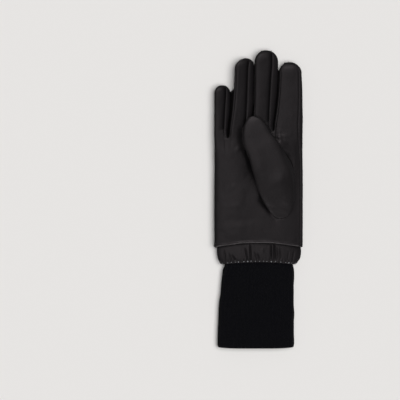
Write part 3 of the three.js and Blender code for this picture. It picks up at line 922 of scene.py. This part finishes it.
# Palm panel, which wraps round the little finger's side, with the thumb hole and the hem
palm = {
    "softness": ((16, 0.30), (7, 0.14), (3.2, 0.04)),
    "seed": 11,
    "folds": [  # soft swells and hollows: middle, heading, half length, half width and height
        (21, 57, 10, 8, 7, 2.4),
        (31, 46, 15, 10, 13, 1.2),
        (-4, 30, 110, 22, 14, -3.2),
        (-23, -2, 90, 16, 9, 0.7),
        (-22.0, 50.4, 62, 3, 2.4, 0.8),
        (-28, 11.5, 62, 3.4, 2.4, 0.65),
        (-28, -7, 5, 9, 3.2, 0.5),
        (-28, -13, 5, 11, 7, 0.8),
        (-21, -28, 3, 14, 4.0, 0.7),
        (-21, -35, 3, 16, 7, 0.8),
    ],
    "creases": [  # from, to, depth and half width
        (-34, -21.2, -8.7, -21.4, 0.12, 1.0),
        (17, 62.5, 27, 60, 0.3, 0.9),
        (-17.5, 53, -15.5, 48, 0.35, 0.9),
        (3.6, -30.5, 5.5, -33, 0.3, 0.8),
        (-36.3, 14, -36.2, 3, 0.3, 1.0),
        (-31.2, 15, -28.5, 11.5, 0.25, 0.9),
    ],
    "topRise": 5,
    "marksFrom": 5,
    # the crumpled spot by the thumb, which is also drawn lighter as a painted highlight
    "crumpleAt": (21, 62),
    "crumpleReach": 7,
    "crumpleCell": 4.6,
    "crumpleDepth": 1.0,
    # the hollow beside the thumb and its foot, which is uneven and deeper towards the wrist
    "shadeFoot": [(18.0, -18.6), (14.0, -14.4), (8.6, -8.2), (3.0, -1.0)],
    "shadeDepth": 1.3,
    "shadeWidth": 3.0,
    "shadeFrom": 3,
    "shadeAtHole": (-0.5, 3),
    "shadeDeeper": 0.6,
    "deeperDown": (-18, 5),
    "shadeUneven": 0.5,
    "shadeCell": 9,
    # the thumb's hole: its edge is a welt at the left, and puckered by stitches at the right
    "holeGap": 0.25,
    "holeSides": 180,
    "holeReach": 2.5,
    "holeMargin": 0.6,
    "weltHeight": 0.25,
    "weltAt": 1.1,
    "weltWidth": 0.77,
    "rightOfHole": (21, 29),
    "rightFlatter": 0.85,
    "ripple": 0.1,
    "rippleStep": 4.6,
    "rippleAt": 0.6,
    "rippleWidth": 0.9,
    # where the welt at the thumb hole is drawn lighter: partly wear, partly painted highlight
    "holeWearAndSheenAt": 1.4,
    "holeWearAndSheenWidth": 1.2,
    "hemRound": 1.6,
    "hemLift": 0.5,
    "hemWeltAt": 0.3,
    "hemWeltWidth": 0.8,
    "hemUneven": 0.7,
    "hemCell": 8,
}


# The thumb, folded over the palm
thumb = {
    "power": 2.2,
    "bodyPower": 3.8,
    "rightPower": 5,
    "shoulderPower": 1.9,
    # ring numbers between which the foot's section turns into the body's, and its right side
    # sharpens and softens again, and the ring number at which it is free of the palm
    "bodyFrom": (0, 2.5),
    "sharpFrom": (0.5, 2.5),
    "softAgain": (6.5, 9),
    "risen": 0.8,
    "clearance": 0.5,
    "columns": 144,
    "rowsPerRing": 12,
    "footRows": 4,
    "tipFrom": 50,
    "tipReach": 5.56,
    "tipRows": 8,
    # rings from the seam in the palm to the tip: upper point, lower point, half width and heading
    "rings": [
        (21.4, -19.8, 14, 26, 44, 14, 11.8, -4),
        (21.4, -18.4, 15.0, 23.2, 43.6, 15.2, 13.8, -3),
        (19.5, -9, 18.3, 19.2, 44, 15.6, 17, 0),
        (17.2, 3, 22.4, 16.4, 45.5, 15.7, 18.8, 4),
        (14.2, 18, 25.4, 12.3, 48, 15.7, 19.2, 10),
        (9.4, 34, 27.3, 7.6, 52, 15.6, 17.8, 18),
        (4.4, 48, 27.4, 3.2, 57.5, 15.5, 16.8, 26),
        (-1, 59, 26.8, -1.6, 64, 15.3, 15.6, 27),
        (-4.3, 68, 26.3, -4.5, 70.5, 15.3, 14, 27),
        (-6, 75, 25.6, -6.1, 76, 15.7, 11.6, 26),
        (-7, 80, 24.6, -7, 80.3, 16.5, 8.2, 22),
        (-7.8, 83.6, 23.0, -7.8, 83.6, 16.9, 3.8, 18),
    ],
    "softness": ((15, 0.35), (6, 0.12), (3, 0.04)),
    "seed": 31,
    "folds": [(20.5, 18.5, 50, 9, 7, 2.0), (24, 13, 50, 12, 11, 0.8), (2, 32, 107, 30, 6, 0.8)],
    "clearRise": (0.5, 3),
    "overPalm": 45,
    "edgeRound": 0.05,
    # share of the lighter colour close to the palm; it doubles where the thumb stands clear, so the thumb is
    # darker beside the palm as painted shade
    "wearAndLightShare": 0.3,
}


def thumbRing(values, angle, margin, power=thumb["power"]):
    upper, lower, half, heading = values[..., 0:3], values[..., 3:6], values[..., 6], values[..., 7]
    heading = np.radians(heading)
    middle = (upper + lower) / 2
    upward = upper - middle
    reach = np.linalg.norm(upward, axis=-1)
    x, z = sectionPoint(angle, half + margin, reach + margin, reach + margin, power)
    aside = point3(np.cos(heading), np.sin(heading), 0)
    return middle + aside * x[..., None] + upward * (z / reach)[..., None]


def thumbOutline(margin, count):
    angles = np.linspace(0, 360, count, endpoint=False)
    return thumbRing(np.array(thumb["rings"][0], float), angles, margin)[:, :2]


def insideOutline(x, y, outline):
    inside = np.zeros(x.shape, bool)
    for (x0, y0), (x1, y1) in zip(outline, np.roll(outline, -1, 0)):
        crosses = (y0 > y) != (y1 > y)
        inside ^= crosses & (x < x0 + (y - y0) * (x1 - x0) / (y1 - y0 if y1 != y0 else 1e-9))
    return inside


def outlineDistance(x, y, outline):
    # distance to an outline, and its nearest point
    best, near = np.full(x.shape, 1e9), np.zeros((*x.shape, 2))
    for (x0, y0), (x1, y1) in zip(outline, np.roll(outline, -1, 0)):
        distance, share = segmentDistance(x, y, x0, y0, x1, y1)
        closer = distance < best
        best = np.where(closer, distance, best)
        near[closer] = np.stack([x0 + share * (x1 - x0), y0 + share * (y1 - y0)], -1)[closer]
    return best, near


def cutThumbHole(skin):
    # takes out the cells over the thumb's foot and draws the edge of the hole onto its outline
    outline = thumbOutline(palm["holeGap"], palm["holeSides"])
    middles = skin["outer"][skin["cells"]].mean(axis=1)
    onPalm = middles[:, 2] > hand["middleZ"]
    taken = onPalm & insideOutline(middles[:, 0], middles[:, 1], outline)
    skin["cells"] = skin["cells"][~taken]
    rim = np.unique(freeEdges(skin["cells"]))
    distance, near = outlineDistance(skin["outer"][rim, 0], skin["outer"][rim, 1], outline)
    atHole = (distance < palm["holeReach"]) & (skin["outer"][rim, 2] > hand["middleZ"])
    rim, near = rim[atHole], near[atHole]
    normals = pointNormals(skin["outer"], skin["cells"])[rim]
    shift = near - skin["outer"][rim, :2]
    drop = -(normals[:, 0] * shift[:, 0] + normals[:, 1] * shift[:, 1]) / normals[:, 2]
    for layer in ("outer", "inner"):
        skin[layer][rim, :2] += shift
        skin[layer][rim, 2] += drop
    used, cells = np.unique(skin["cells"], return_inverse=True)
    skin.update(outer=skin["outer"][used], inner=skin["inner"][used], cells=cells.reshape(-1, 4))
    return outline


def sortEdges(skin, outline=None):
    # the sewn edges of a panel and its hem; the thumb hole's edges are neither
    edges = freeEdges(skin["cells"])
    x, y, z = ((skin["outer"][edges[:, 0]] + skin["outer"][edges[:, 1]]) / 2).T
    atHem = y < hemLine(x) + hand["hemMargin"]
    atHole = np.zeros(len(edges), bool)
    if outline is not None:
        distance, _ = outlineDistance(x, y, outline)
        atHole = (distance < palm["holeMargin"]) & (z > hand["middleZ"])
    return edges[~atHem & ~atHole], edges[atHem]


def thumbShade(x, y):
    # depth of the hollow beside the thumb
    rings = np.array(thumb["rings"], float)
    side = thumbRing(rings, np.full(len(rings), 180.0), 0)[1:-2, :2]
    side = np.concatenate([palm["shadeFoot"], side])
    besideThumb = np.min([segmentDistance(x, y, *a, *b)[0] for a, b in zip(side, side[1:])], axis=0)
    deeper = 1 + palm["shadeDeeper"] * smoothstep(-y, *palm["deeperDown"])
    deeper += palm["shadeUneven"] * bumps(x, y, palm["shadeCell"], palm["seed"])
    return palm["shadeDepth"] * hump(besideThumb, palm["shadeWidth"]) * deeper


def palmRelief(skin, distance, holeDistance, onTop, crumpled):
    # height of the palm's stretch, folds, creases and hollows
    x, y, _ = skin["outer"].T
    height = softness(skin, palm["softness"], palm["seed"]) * smoothstep(distance, 0, seam["softFrom"])
    marks = foldHeight(x, y, palm["folds"]) + creaseHeight(x, y, palm["creases"])
    marks += palm["crumpleDepth"] * bumps(x, y, palm["crumpleCell"], palm["seed"]) * crumpled
    height += marks * onTop * smoothstep(distance, 0, palm["marksFrom"])
    height *= smoothstep(holeDistance, 0, palm["marksFrom"]) * onTop + 1 - onTop
    shade = thumbShade(x, y) * onTop * smoothstep(distance, 0, palm["shadeFrom"])
    return height - shade * smoothstep(holeDistance, *palm["shadeAtHole"])


def makePanel(name, skin, hem, hemRound, wearAndLightShare):
    rounding = np.full(len(wearAndLightShare), seam["edgeRound"])
    rounding[np.unique(hem)] = hemRound
    return makeSheet(name, skin, leatherSides, rounding, wearAndPaintedLight=wearAndLightShare)


def makePalm():
    skin = panelSkin("palm")
    outline = cutThumbHole(skin)
    sewn, hem = sortEdges(skin, outline)
    distance = edgeDistance(skin, sewn)
    x, y, z = skin["outer"].T
    holeDistance, _ = outlineDistance(x, y, outline)
    onTop = smoothstep(z, hand["middleZ"], hand["middleZ"] + palm["topRise"])
    crumpleX, crumpleY = palm["crumpleAt"]
    crumpled = hump(np.hypot(x - crumpleX, y - crumpleY), palm["crumpleReach"])
    addRelief(skin, palmRelief(skin, distance, holeDistance, onTop, crumpled))

    hemDistance = edgeDistance(skin, hem)
    uneven = 1 + palm["hemUneven"] * bumps(x, 0 * x, palm["hemCell"], palm["seed"])
    welt = palm["hemLift"] * hump(hemDistance - palm["hemWeltAt"], palm["hemWeltWidth"]) * uneven
    rightOfHole = smoothstep(x, *palm["rightOfHole"])
    atHole = onTop * (1 - palm["rightFlatter"] * rightOfHole)
    welt += palm["weltHeight"] * hump(holeDistance - palm["weltAt"], palm["weltWidth"]) * atHole
    ripple = palm["ripple"] * rightOfHole * np.cos(2 * np.pi * y / palm["rippleStep"])
    welt += ripple * hump(holeDistance - palm["rippleAt"], palm["rippleWidth"]) * onTop
    turnedIn = -seam["roll"] * rolledIn(holeDistance, seam["width"]) * atHole
    addRelief(skin, welt + turnedIn, onInner=False)

    deep = rollSeams(skin, distance, rightSeams(skin, sewn), seam["deepInPanel"])
    # lighter along the welts, partly wear and partly painted highlight, and along the hem rim as painted
    # highlight
    wearAndLightShare = np.maximum(weltWearAndSheen(distance) * (1 - deep), paintedHemSheen(hemDistance))
    # lighter along the thumb hole's welt: partly wear, partly painted highlight
    wearAndLightShare = np.maximum(wearAndLightShare, hump(holeDistance - palm["holeWearAndSheenAt"], palm["holeWearAndSheenWidth"]) * atHole)
    # painted highlight on the crumpled spot by the thumb
    wearAndLightShare = np.maximum(wearAndLightShare, onTop * crumpled)
    return makePanel("palmPanel", skin, hem, palm["hemRound"], wearAndLightShare)


# Back panel, which the glove lies on, and which wraps round the index side
back = {"softness": ((18, 0.18), (7, 0.08)), "seed": 21, "freeRise": (0.3, 3), "hemRound": 1.1}


def makeBack():
    skin = panelSkin("back")
    sewn, hem = sortEdges(skin)
    distance = edgeDistance(skin, sewn)
    # only its sides swell, because the rest lies on the surface
    free = smoothstep(skin["outer"][:, 2], *back["freeRise"])
    height = softness(skin, back["softness"], back["seed"]) * free
    addRelief(skin, height * smoothstep(distance, 0, seam["softFrom"]))
    rollSeams(skin, distance)
    keepOnSurface(skin["outer"])
    # lighter along the welts, partly wear and partly painted highlight, and along the hem rim as painted
    # highlight
    wearAndLightShare = np.maximum(weltWearAndSheen(distance), paintedHemSheen(edgeDistance(skin, hem)))
    return makePanel("backPanel", skin, hem, back["hemRound"], wearAndLightShare)


# Fourchettes: strips down the side of one finger, round the crotch and up the side of the next
fourchette = {
    "cells": 18,
    "crotchCells": 28,
    "softness": ((9, 0.10),),
    "softFrom": 3,
    "seed": 41,
    "overlap": 1.3,
    "mostBulge": 5.5,
    "bulgeSamples": 80,
    "bulgeRise": (0.22, 0.6),
    "bulgeFall": (0.68, 1),
    "bulgeEnd": (-1, 5),
}
fourchetteNames = ["LittleRing", "RingMiddle", "MiddleIndex"]

# shares across a strip, from palm to back, and how much of its bulge each has
stripAcross = np.linspace(0, 1, fourchette["cells"] + 1)
stripBulge = smoothstep(stripAcross, *fourchette["bulgeRise"])
stripBulge *= 1 - smoothstep(stripAcross, *fourchette["bulgeFall"])


def flankBulge(number, y):
    # how far the strip on a finger's left flank bulges, so that it meets the finger beside it
    shares = np.linspace(0, 1, fourchette["bulgeSamples"])
    leftEdge = fingerPoint(fingers[number], 0.0, shares, 0)
    rightEdge = fingerPoint(fingers[number + 1], 180.0, shares, 0)
    rightX, leftX = (np.interp(y, edge[:, 1], edge[:, 0]) for edge in (rightEdge, leftEdge))
    domeY = min(one["tip"][1] - fingerShape["dome"] * one["half"][2] for one in fingers[number : number + 2])
    reach = np.clip(rightX - leftX + fourchette["overlap"], 0, fourchette["mostBulge"])
    endFrom, endTo = fourchette["bulgeEnd"]
    return reach * (1 - smoothstep(y, domeY + endFrom, domeY + endTo))


def flankRows(number, at, depth):
    # rows of a strip up the flank of one of its two fingers
    gap = fingerSeam["gap"]
    onLeft = at == number
    rows = []
    for share in fingerRows(fingers[at]):
        if domeShare(fingers[at], share) > fingerSeam["stripEnd"]:
            break
        seams = seamAngles(at, share)
        start = seams["palmRight"] - gap if onLeft else seams["palmLeft"] + gap
        end = seams["backRight"] - 360 + gap if onLeft else seams["backLeft"] - gap
        angles = lerp(start, end, stripAcross)
        row = fingerPoint(fingers[at], angles, np.full(stripAcross.shape, share), depth)
        if not onLeft:
            row[:, 0] -= flankBulge(number, row[:, 1]) * stripBulge
        rows.append(row)
    return rows


def crotchRows(number, depth):
    # rows of a strip round the crotch, where it is set in from the panels' edges
    gap = fingerSeam["gap"]
    root = seamAngles(number, 0.0)
    edge = 2 * gap / (root["palmRight"] - root["backRight"] + 360 + 2 * gap)
    rootBulge = flankBulge(number, fingers[number + 1]["root"][0])
    rows = []
    for around in np.linspace(0, 1, fourchette["crotchCells"] + 1)[1:-1]:
        margin = edge * (1 + fingerSeam["crotchInset"] * math.sin(math.pi * around))
        across = lerp(margin, 1 - margin, stripAcross)
        row = crotchPoint(number, np.full(across.shape, around), across, depth)
        row[:, 0] -= rootBulge * max(0, -math.cos(math.pi * around)) * stripBulge
        rows.append(row)
    return rows


def makeFourchette(number):
    skins = []
    for depth in (0, leatherWall):
        left, right = (flankRows(number, at, depth) for at in (number, number + 1))
        skins.append(np.array(left[::-1] + crotchRows(number, depth) + right))
    skin = joinGrids([(*skins, True)])
    distance = edgeDistance(skin, freeEdges(skin["cells"]))
    height = softness(skin, fourchette["softness"], fourchette["seed"] + number)
    addRelief(skin, height * smoothstep(distance, 0, fourchette["softFrom"]))
    rollSeams(skin, distance, rightSeams(skin, freeEdges(skin["cells"])), seam["deepInStrip"])
    name = "fourchette" + fourchetteNames[number]
    # lighter along its welts: partly wear, partly painted highlight
    return makeSheet(name, skin, leatherSides, seam["edgeRound"], wearAndPaintedLight=weltWearAndSheen(distance))


def thumbSkin():
    # from its seam in the palm up along its rings, closed by a rounded tip
    last, footRows = len(thumb["rings"]) - 1, thumb["footRows"]
    at = np.concatenate([np.zeros(footRows), np.linspace(0, last, last * thumb["rowsPerRing"] + 1)])
    values = through(thumb["rings"], at)
    angles = np.linspace(0, 360, thumb["columns"] + 1) % 360
    # its foot comes up through the palm
    foot = np.linspace(-leatherWall, thumb["clearance"], footRows + 1)[:-1]
    lift = np.concatenate([foot, np.full(len(at) - footRows, thumb["clearance"])])
    rising = smoothstep(at, 0, thumb["risen"])[:, None]
    # its right flank rolls over more sharply, and falls away to the shoulder
    power = lerp(thumb["power"], thumb["bodyPower"], smoothstep(at, *thumb["bodyFrom"]))[:, None]
    sharp = smoothstep(at, *thumb["sharpFrom"]) * (1 - smoothstep(at, *thumb["softAgain"]))
    sharp = sharp[:, None] * (np.cos(np.radians(angles)) > 0)
    falling = np.sin(np.radians(angles)) < 0
    power = lerp(power, np.where(falling, thumb["shoulderPower"], thumb["rightPower"]), sharp)
    heading = np.radians(values[-1, 7])
    forward = np.array([-math.sin(heading), math.cos(heading), 0])
    tipTurns = np.radians(np.linspace(thumb["tipFrom"], 90, thumb["tipRows"] + 1))
    skins = []
    for depth in (0, leatherWall):
        place = thumbRing(values[:, None, :], angles[None], -depth, power)
        palmLevel = palmHeight(place[..., 0], place[..., 1])
        place[..., 2] = lerp(palmLevel + lift[:, None], place[..., 2], rising)
        place -= forward * (depth * smoothstep(at, last - 1, last))[:, None, None]
        centre = (values[-1, 0:3] + values[-1, 3:6]) / 2 - forward * depth
        tipRows = []
        for turn in tipTurns[1:]:
            scale = max(math.cos(turn) / math.cos(tipTurns[0]), 0)
            reach = thumb["tipReach"] * (math.sin(turn) - math.sin(tipTurns[0]))
            tipRows.append(centre + (place[-1] - centre) * scale + forward * reach)
        tipRows[-1][:] = tipRows[-1].mean(axis=0)
        skins.append(np.concatenate([place, np.array(tipRows)]))
    return joinGrids([(*skins, True)])


def makeThumb():
    skin = thumbSkin()
    x, y, z = skin["outer"].T
    level = palmHeight(np.clip(x, -thumb["overPalm"], thumb["overPalm"]), y)
    clear = smoothstep(z - level, *thumb["clearRise"])
    height = softness(skin, thumb["softness"], thumb["seed"]) + foldHeight(x, y, thumb["folds"])
    addRelief(skin, height * clear)
    # painted shade: the thumb is drawn darker where it lies close to the palm, lighter where it stands clear
    # of it
    wearAndLightShare = thumb["wearAndLightShare"] * (1 + clear)
    return makeSheet("thumbLeather", skin, leatherSides, thumb["edgeRound"], wearAndPaintedLight=wearAndLightShare)


# Tubes of the wrist
def evenAngles(tube, count):
    # angles that divide the section of a tube's last ring into equal steps along its outline
    _, _, half, height = tube["rings"][-1][:4]
    fine = np.linspace(0, 360, 1441)  # every quarter of a degree
    x, z = sectionPoint(fine, half, height - tube["middleZ"], tube["middleZ"], tube["power"])
    lengths = np.concatenate([[0], np.cumsum(np.hypot(np.diff(x), np.diff(z)))])
    return np.interp(lengths[-1] * np.arange(count) / count, lengths, fine)


def tubeSkin(tube, values, angles, relief, fall):
    # values: down, x, half, height and foot of each row. relief is the depth of the wall's pleats
    # or ribs, and fall how far down from the hem a point of a row is
    down, middleX, half, height, foot = (values[:, column, None] for column in range(5))
    around = np.arange(len(angles) + 1) % len(angles)
    angle = angles[around][None]
    skins = []
    for depth in (0, tube["wall"]):
        inset = depth + relief(around, depth)
        above = height - tube["middleZ"] - inset
        below = tube["middleZ"] - foot + hand["pressed"] - inset
        x, z = sectionPoint(angle, half - inset, above, below, tube["power"])
        y = hand["hemY"] - fall(down, x)
        skins.append(point3(middleX + x, y, np.maximum(tube["middleZ"] + z, foot + depth)))
    return joinGrids([(*skins, False)])


# Gathered band between the hem and the knit
band = {
    "wall": leatherWall,
    "middleZ": 5.2,
    "power": 2.6,
    "topDrop": 5,
    "footDrop": 3.4,
    "pleats": 36,
    "pleatDepth": 0.064,  # slight, because most of the ruching is in the creases
    "uneven": 0.35,
    "unevenStep": 97,
    "underPleat": 0.3,
    "columnsPerPleat": 12,
    "rows": 60,
    # down from the hem, middle, half width, height, foot, and share of the pleats' depth
    "rings": [
        (-2.6, 0.2, 42.1, 11.2, 2.7, 0.1),
        (0.4, 0.4, 42.8, 11.4, 2.7, 0.2),
        (7, 0.5, 43.2, 12.1, 0.3, 0.5),
        (14, 0.4, 42.2, 12.6, 0, 0.9),
        (18.6, 0, 39.8, 12.5, 0, 1),
        (21, 0, 38.3, 12.3, 0, 0.8),
    ],
    "creases": [  # on its upper side
        (-26.9, -57.7, -23.1, -63.6, 1.3, 0.6),
        (-30.5, -55.5, -28, -63, 0.8, 0.6),
        (-13.8, -50.4, -11.4, -62.5, 1.5, 0.6),
        (-8.7, -46.7, -8.1, -63.6, 2.0, 0.65),
        (-4.0, -54.2, -1.6, -61.6, 0.8, 0.6),
        (-1.1, -56.0, 1.1, -63.6, 1.2, 0.6),
        (12.5, -46.3, 12.6, -62.5, 1.7, 0.6),
        (16.2, -45.3, 16.6, -63.6, 2.2, 0.7),
        (19.2, -50.5, 19.5, -62.5, 1.2, 0.6),
        (22.2, -50.5, 22.8, -61.6, 1.0, 0.6),
        (4.0, -50, 4.2, -56, -0.5, 1.6),
        (14.4, -46, 14.5, -62, -0.6, 0.9),
        (-36, -52, -34, -64, 0.8, 0.9),
        (31, -54, 30, -63, 0.6, 0.8),
        (36.5, -54, 35, -64, 0.7, 0.9),
    ],
    "topRise": (4, 9),
    "tuck": 0.35,
    "tuckFall": (0.8, 4.0),
    "pucker": 0.35,
    "puckerStep": 3.3,
    "puckerAt": 1.5,
    "puckerReach": 2.2,
    "puckerRise": (1, 5),
    "swell": 0.15,
    "swellCell": 6,
    "swellStretch": (1.2, 0.6),
    "edgeRound": 0.3,
    "seed": 51,
}


# Stitches that draw the band in, round its lower edge
gather = {
    "down": 20.3,
    "pitch": (8, 16),  # in columns of the band, which are 0.42 mm wide
    "long": 1.6,
    "wide": 0.9,
    "high": 0.8,
    "scale": (0.6, 1.1),
    "seated": 0.2,
    "slant": 18,
    "sides": 10,
    "rows": 6,
    "most": 60,
    "endGap": 4,
    "seed": 81,
}


def makeGatherStitches(row, normals):
    turn = np.linspace(0, 2 * np.pi, gather["sides"], endpoint=False)[None]
    rise = np.linspace(0, np.pi, gather["rows"] + 1)[:, None]
    grid = point3(np.cos(rise), np.sin(rise) * np.cos(turn), np.sin(rise) * np.sin(turn))
    index = np.arange(grid.shape[0] * grid.shape[1]).reshape(grid.shape[:2])
    index[0], index[-1] = index[0, 0], index[-1, 0]
    ownCells = gridCells(np.hstack([index, index[:, :1]]))
    size = np.array([gather["long"], gather["wide"], gather["high"]]) / 2
    slant = math.radians(gather["slant"])
    cosine, sine = math.cos(slant), math.sin(slant)
    points, cells = [], []
    chance = np.random.default_rng(gather["seed"])
    places = np.cumsum(chance.integers(*gather["pitch"], gather["most"]))
    for place in places[places < len(row) - gather["endGap"]]:
        along = unit(row[place + 1] - row[place - 1])
        up = normals[place]
        aside = np.cross(up, along)
        axes = np.array([along * cosine + aside * sine, aside * cosine - along * sine, up])
        own = size * chance.uniform(*gather["scale"])
        cells.append(ownCells + len(points) * index.size)
        points.append((grid.reshape(-1, 3) * own) @ axes + row[place] + up * gather["seated"])
    points = np.concatenate(points)
    keepOnSurface(points)
    used, faces = np.unique(np.concatenate(cells), return_inverse=True)
    piece = linkMesh("gatherStitches", points[used], faces.reshape(-1, 4), [glintGreyThread])
    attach(piece, "root")


def makeBand():
    lastDown = band["rings"][-1][0]
    angles = evenAngles(band, band["pleats"] * band["columnsPerPleat"])
    values = through(band["rings"], np.linspace(0, len(band["rings"]) - 1, band["rows"] + 1))

    def relief(around, depth):
        pleat = around / band["columnsPerPleat"]
        uneven = 1 + band["uneven"] * np.sin(np.radians(band["unevenStep"] * (2 * np.floor(pleat) + 1)))
        pressed = np.where(angles[around] > 180, band["underPleat"], 1)
        fold = np.sin(np.pi * pleat) ** 4
        return band["pleatDepth"] * values[:, 5, None] * (uneven * pressed * fold)[None]

    def fall(down, x):
        drop = lerp(band["topDrop"], band["footDrop"], np.maximum(0, down) / lastDown)
        return down + drop * (x / hand["halfWidth"]) ** 2

    skin = tubeSkin(band, values, angles, relief, fall)
    x, y, z = skin["outer"].T
    onTop = smoothstep(z, *band["topRise"])
    height = creaseHeight(x, y, band["creases"]) * onTop
    # puckers where the stitches draw it in
    footY = hand["hemY"] - fall(lastDown, x)
    pucker = band["pucker"] * np.cos(2 * np.pi * x / band["puckerStep"])
    pucker *= hump(y - footY - band["puckerAt"], band["puckerReach"])
    height += pucker * smoothstep(z, *band["puckerRise"])
    stretchX, stretchY = band["swellStretch"]
    height += band["swell"] * bumps(x * stretchX, y * stretchY, band["swellCell"], band["seed"]) * onTop
    # it is tucked in under the hem
    height -= band["tuck"] * (1 - smoothstep(hemLine(x) - y, *band["tuckFall"])) * onTop
    addRelief(skin, height)
    keepOnSurface(skin["outer"])
    row = np.argmin(np.abs(values[:, 0] - gather["down"]))
    places = skin["place"].reshape(len(values), -1)[row]
    makeGatherStitches(skin["outer"][places], pointNormals(skin["outer"], skin["cells"])[places])
    # lighter along its edges: partly wear, partly painted highlight
    wearAndLightShare = weltWearAndSheen(edgeDistance(skin, freeEdges(skin["cells"])))
    return makeSheet("gatheredBand", skin, leatherSides, band["edgeRound"], wearAndPaintedLight=wearAndLightShare)


# Rib knit cuff
cuff = {
    "wall": 1.8,
    "middleZ": 5,
    "power": 2.8,
    "corner": 1.2,
    "cornerLong": 4,
    "cornerPower": 4,
    "ribs": 40,
    "ribDepth": 0.7,
    "ribPower": 1.4,
    "columnsPerRib": 8,
    "rows": 110,
    "course": 1.6,
    # it lies a little unevenly where it shows, below the band
    "shownDown": (68, 74),
    "swell": 0.25,
    "swellCell": 9,
    "swellRise": (1, 5),
    "sway": 0.35,
    "swayCell": 14,
    "rings": [
        (15, 0.2, 34.3, 10.3, 1.6),
        (23.5, 0.2, 35, 10.4, 1.7),
        (29, 0, 36.4, 10.9, 0),
        (60, -1.75, 38.3, 11.4, 0),
        (105.6, -2.8, 39.3, 11.2, 0),
        (109.3, -2.9, 38.9, 10.8, 0),
    ],
    "edgeRound": 0.7,
    "seed": 61,
}


def makeCuff():
    rings = np.array(cuff["rings"])
    last = rings[-1]
    angles = evenAngles(cuff, cuff["ribs"] * cuff["columnsPerRib"])
    down = np.linspace(rings[0, 0], last[0], cuff["rows"] + 1)
    values = through(rings, np.interp(down, rings[:, 0], np.arange(len(rings))))
    values[:, 0] = down

    def relief(around, depth):
        if depth > 0:
            return 0
        valley = np.abs(np.sin(np.pi * around / cuff["columnsPerRib"])) ** cuff["ribPower"]
        return cuff["ribDepth"] * valley[None]

    def fall(value, x):
        # its lower corners are rounded
        nearEnd = smoothstep(value, last[0] - cuff["cornerLong"], last[0])
        return value - cuff["corner"] * nearEnd * (x / last[2]) ** cuff["cornerPower"]

    skin = tubeSkin(cuff, values, angles, relief, fall)
    x, y, z = skin["outer"].T
    shown = smoothstep(-y, *cuff["shownDown"])
    swell = cuff["swell"] * bumps(x, y, cuff["swellCell"], cuff["seed"])
    addRelief(skin, swell * shown * smoothstep(z, *cuff["swellRise"]))
    for layer in ("outer", "inner"):
        x, y, _ = skin[layer].T
        skin[layer][:, 0] += cuff["sway"] * bumps(x, y, cuff["swayCell"], cuff["seed"] + 1) * shown
    keepOnSurface(skin["outer"])

    # wales and courses at each cell's corners
    across = np.arange(len(angles))[None, :, None] + np.array([0, 1, 1, 0])
    courses = (down / cuff["course"])[:, None, None]
    rows = np.concatenate([courses[:-1], courses[:-1], courses[1:], courses[1:]], -1)
    wales = np.broadcast_to(across / cuff["columnsPerRib"], (cuff["rows"], len(angles), 4))
    maps = np.stack([wales, np.broadcast_to(rows, wales.shape)], -1).reshape(-1, 4, 2)
    return makeSheet("knitCuff", skin, [knit], cuff["edgeRound"], maps=maps)


for nodeName, maker in (
    ("palm_panel", makePalm),
    ("back_panel", makeBack),
    ("fourchette_little_ring", lambda: makeFourchette(0)),
    ("fourchette_ring_middle", lambda: makeFourchette(1)),
    ("fourchette_middle_index", lambda: makeFourchette(2)),
    ("thumb", makeThumb),
    ("gathered_band", makeBand),
    ("knit_cuff", makeCuff),
):
    piece = maker()
    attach(piece, "root")
    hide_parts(nodeName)
    piece.data.calc_loop_triangles()
    print(nodeName, "made with", len(piece.data.loop_triangles), "triangles")


# Pale card under the glove
ground = {
    "size": 4000,
    "colour": "#e8e6e4",
    "roughness": 0.9,
    "specular": 0.1,
    "tooth": 1.5,
    "toothDepth": 0.02,
}


def makeGround():
    material, tree = startMaterial("paleCard")
    place = addNode(tree, "ShaderNodeTexCoord").outputs["Object"]
    tooth = addNode(
        tree,
        "ShaderNodeTexNoise",
        {"Vector": place, "Scale": 1 / (ground["tooth"] * mm), "Detail": 3},
    )
    bump = addNode(
        tree,
        "ShaderNodeBump",
        {"Height": tooth.outputs["Fac"], "Distance": ground["toothDepth"] * mm},
    )
    surface = addNode(
        tree,
        "ShaderNodeBsdfPrincipled",
        {
            "Base Color": linear(ground["colour"]),
            "Roughness": ground["roughness"],
            "Specular IOR Level": ground["specular"],
            "Normal": bump.outputs["Normal"],
        },
    )
    addNode(tree, "ShaderNodeOutputMaterial", {"Surface": surface.outputs["BSDF"]})
    half = ground["size"] / 2
    corners = np.array([(-half, -half, 0), (half, -half, 0), (half, half, 0), (-half, half, 0)])
    floor = linkMesh("ground", corners, np.arange(4)[None], [material])
    # the photo's leather does not mirror the card along its edges
    floor.visible_glossy = False


# Soft studio light. One big soft box, a little to the right of overhead, draws the shadows. The
# lower lamps are for the gloss only: they glance off the leather's folds and rims. Each has its
# strength, spread, height and heading in degrees, counted from +X towards -Y
studio = {
    "softBox": (2.83, 56, 72, 5),
    "leftGloss": (0.5, 60, 66, 208),
    "edgeGloss": (0.66, 26, 40, 262),
    "frontGloss": (1.1, 8, 7, 95),
    "fill": 0.13,
}


def makeLight():
    for name in ("softBox", "leftGloss", "edgeGloss", "frontGloss"):
        strength, spread, height, heading = studio[name]
        data = bpy.data.lights.new(name, "SUN")
        data.energy = strength
        data.angle = math.radians(spread)
        lamp = bpy.data.objects.new(name, data)
        # a sun shines along its own -Z
        lamp.rotation_euler = [math.radians(90 - height), 0, math.radians(90 - heading)]
        lamp.visible_glossy = name != "softBox"
        lamp.visible_diffuse = name == "softBox"
        bpy.context.scene.collection.objects.link(lamp)
    world = bpy.data.worlds.new("studioFill")
    world.use_nodes = True
    world.node_tree.nodes["Background"].inputs["Strength"].default_value = studio["fill"]
    world.node_tree.nodes["Background"].inputs["Color"].default_value = (1, 1, 1, 1)
    bpy.context.scene.world = world
    bpy.context.scene.view_settings.view_transform = "Standard"


makeGround()
makeLight()
print("floor and light set")
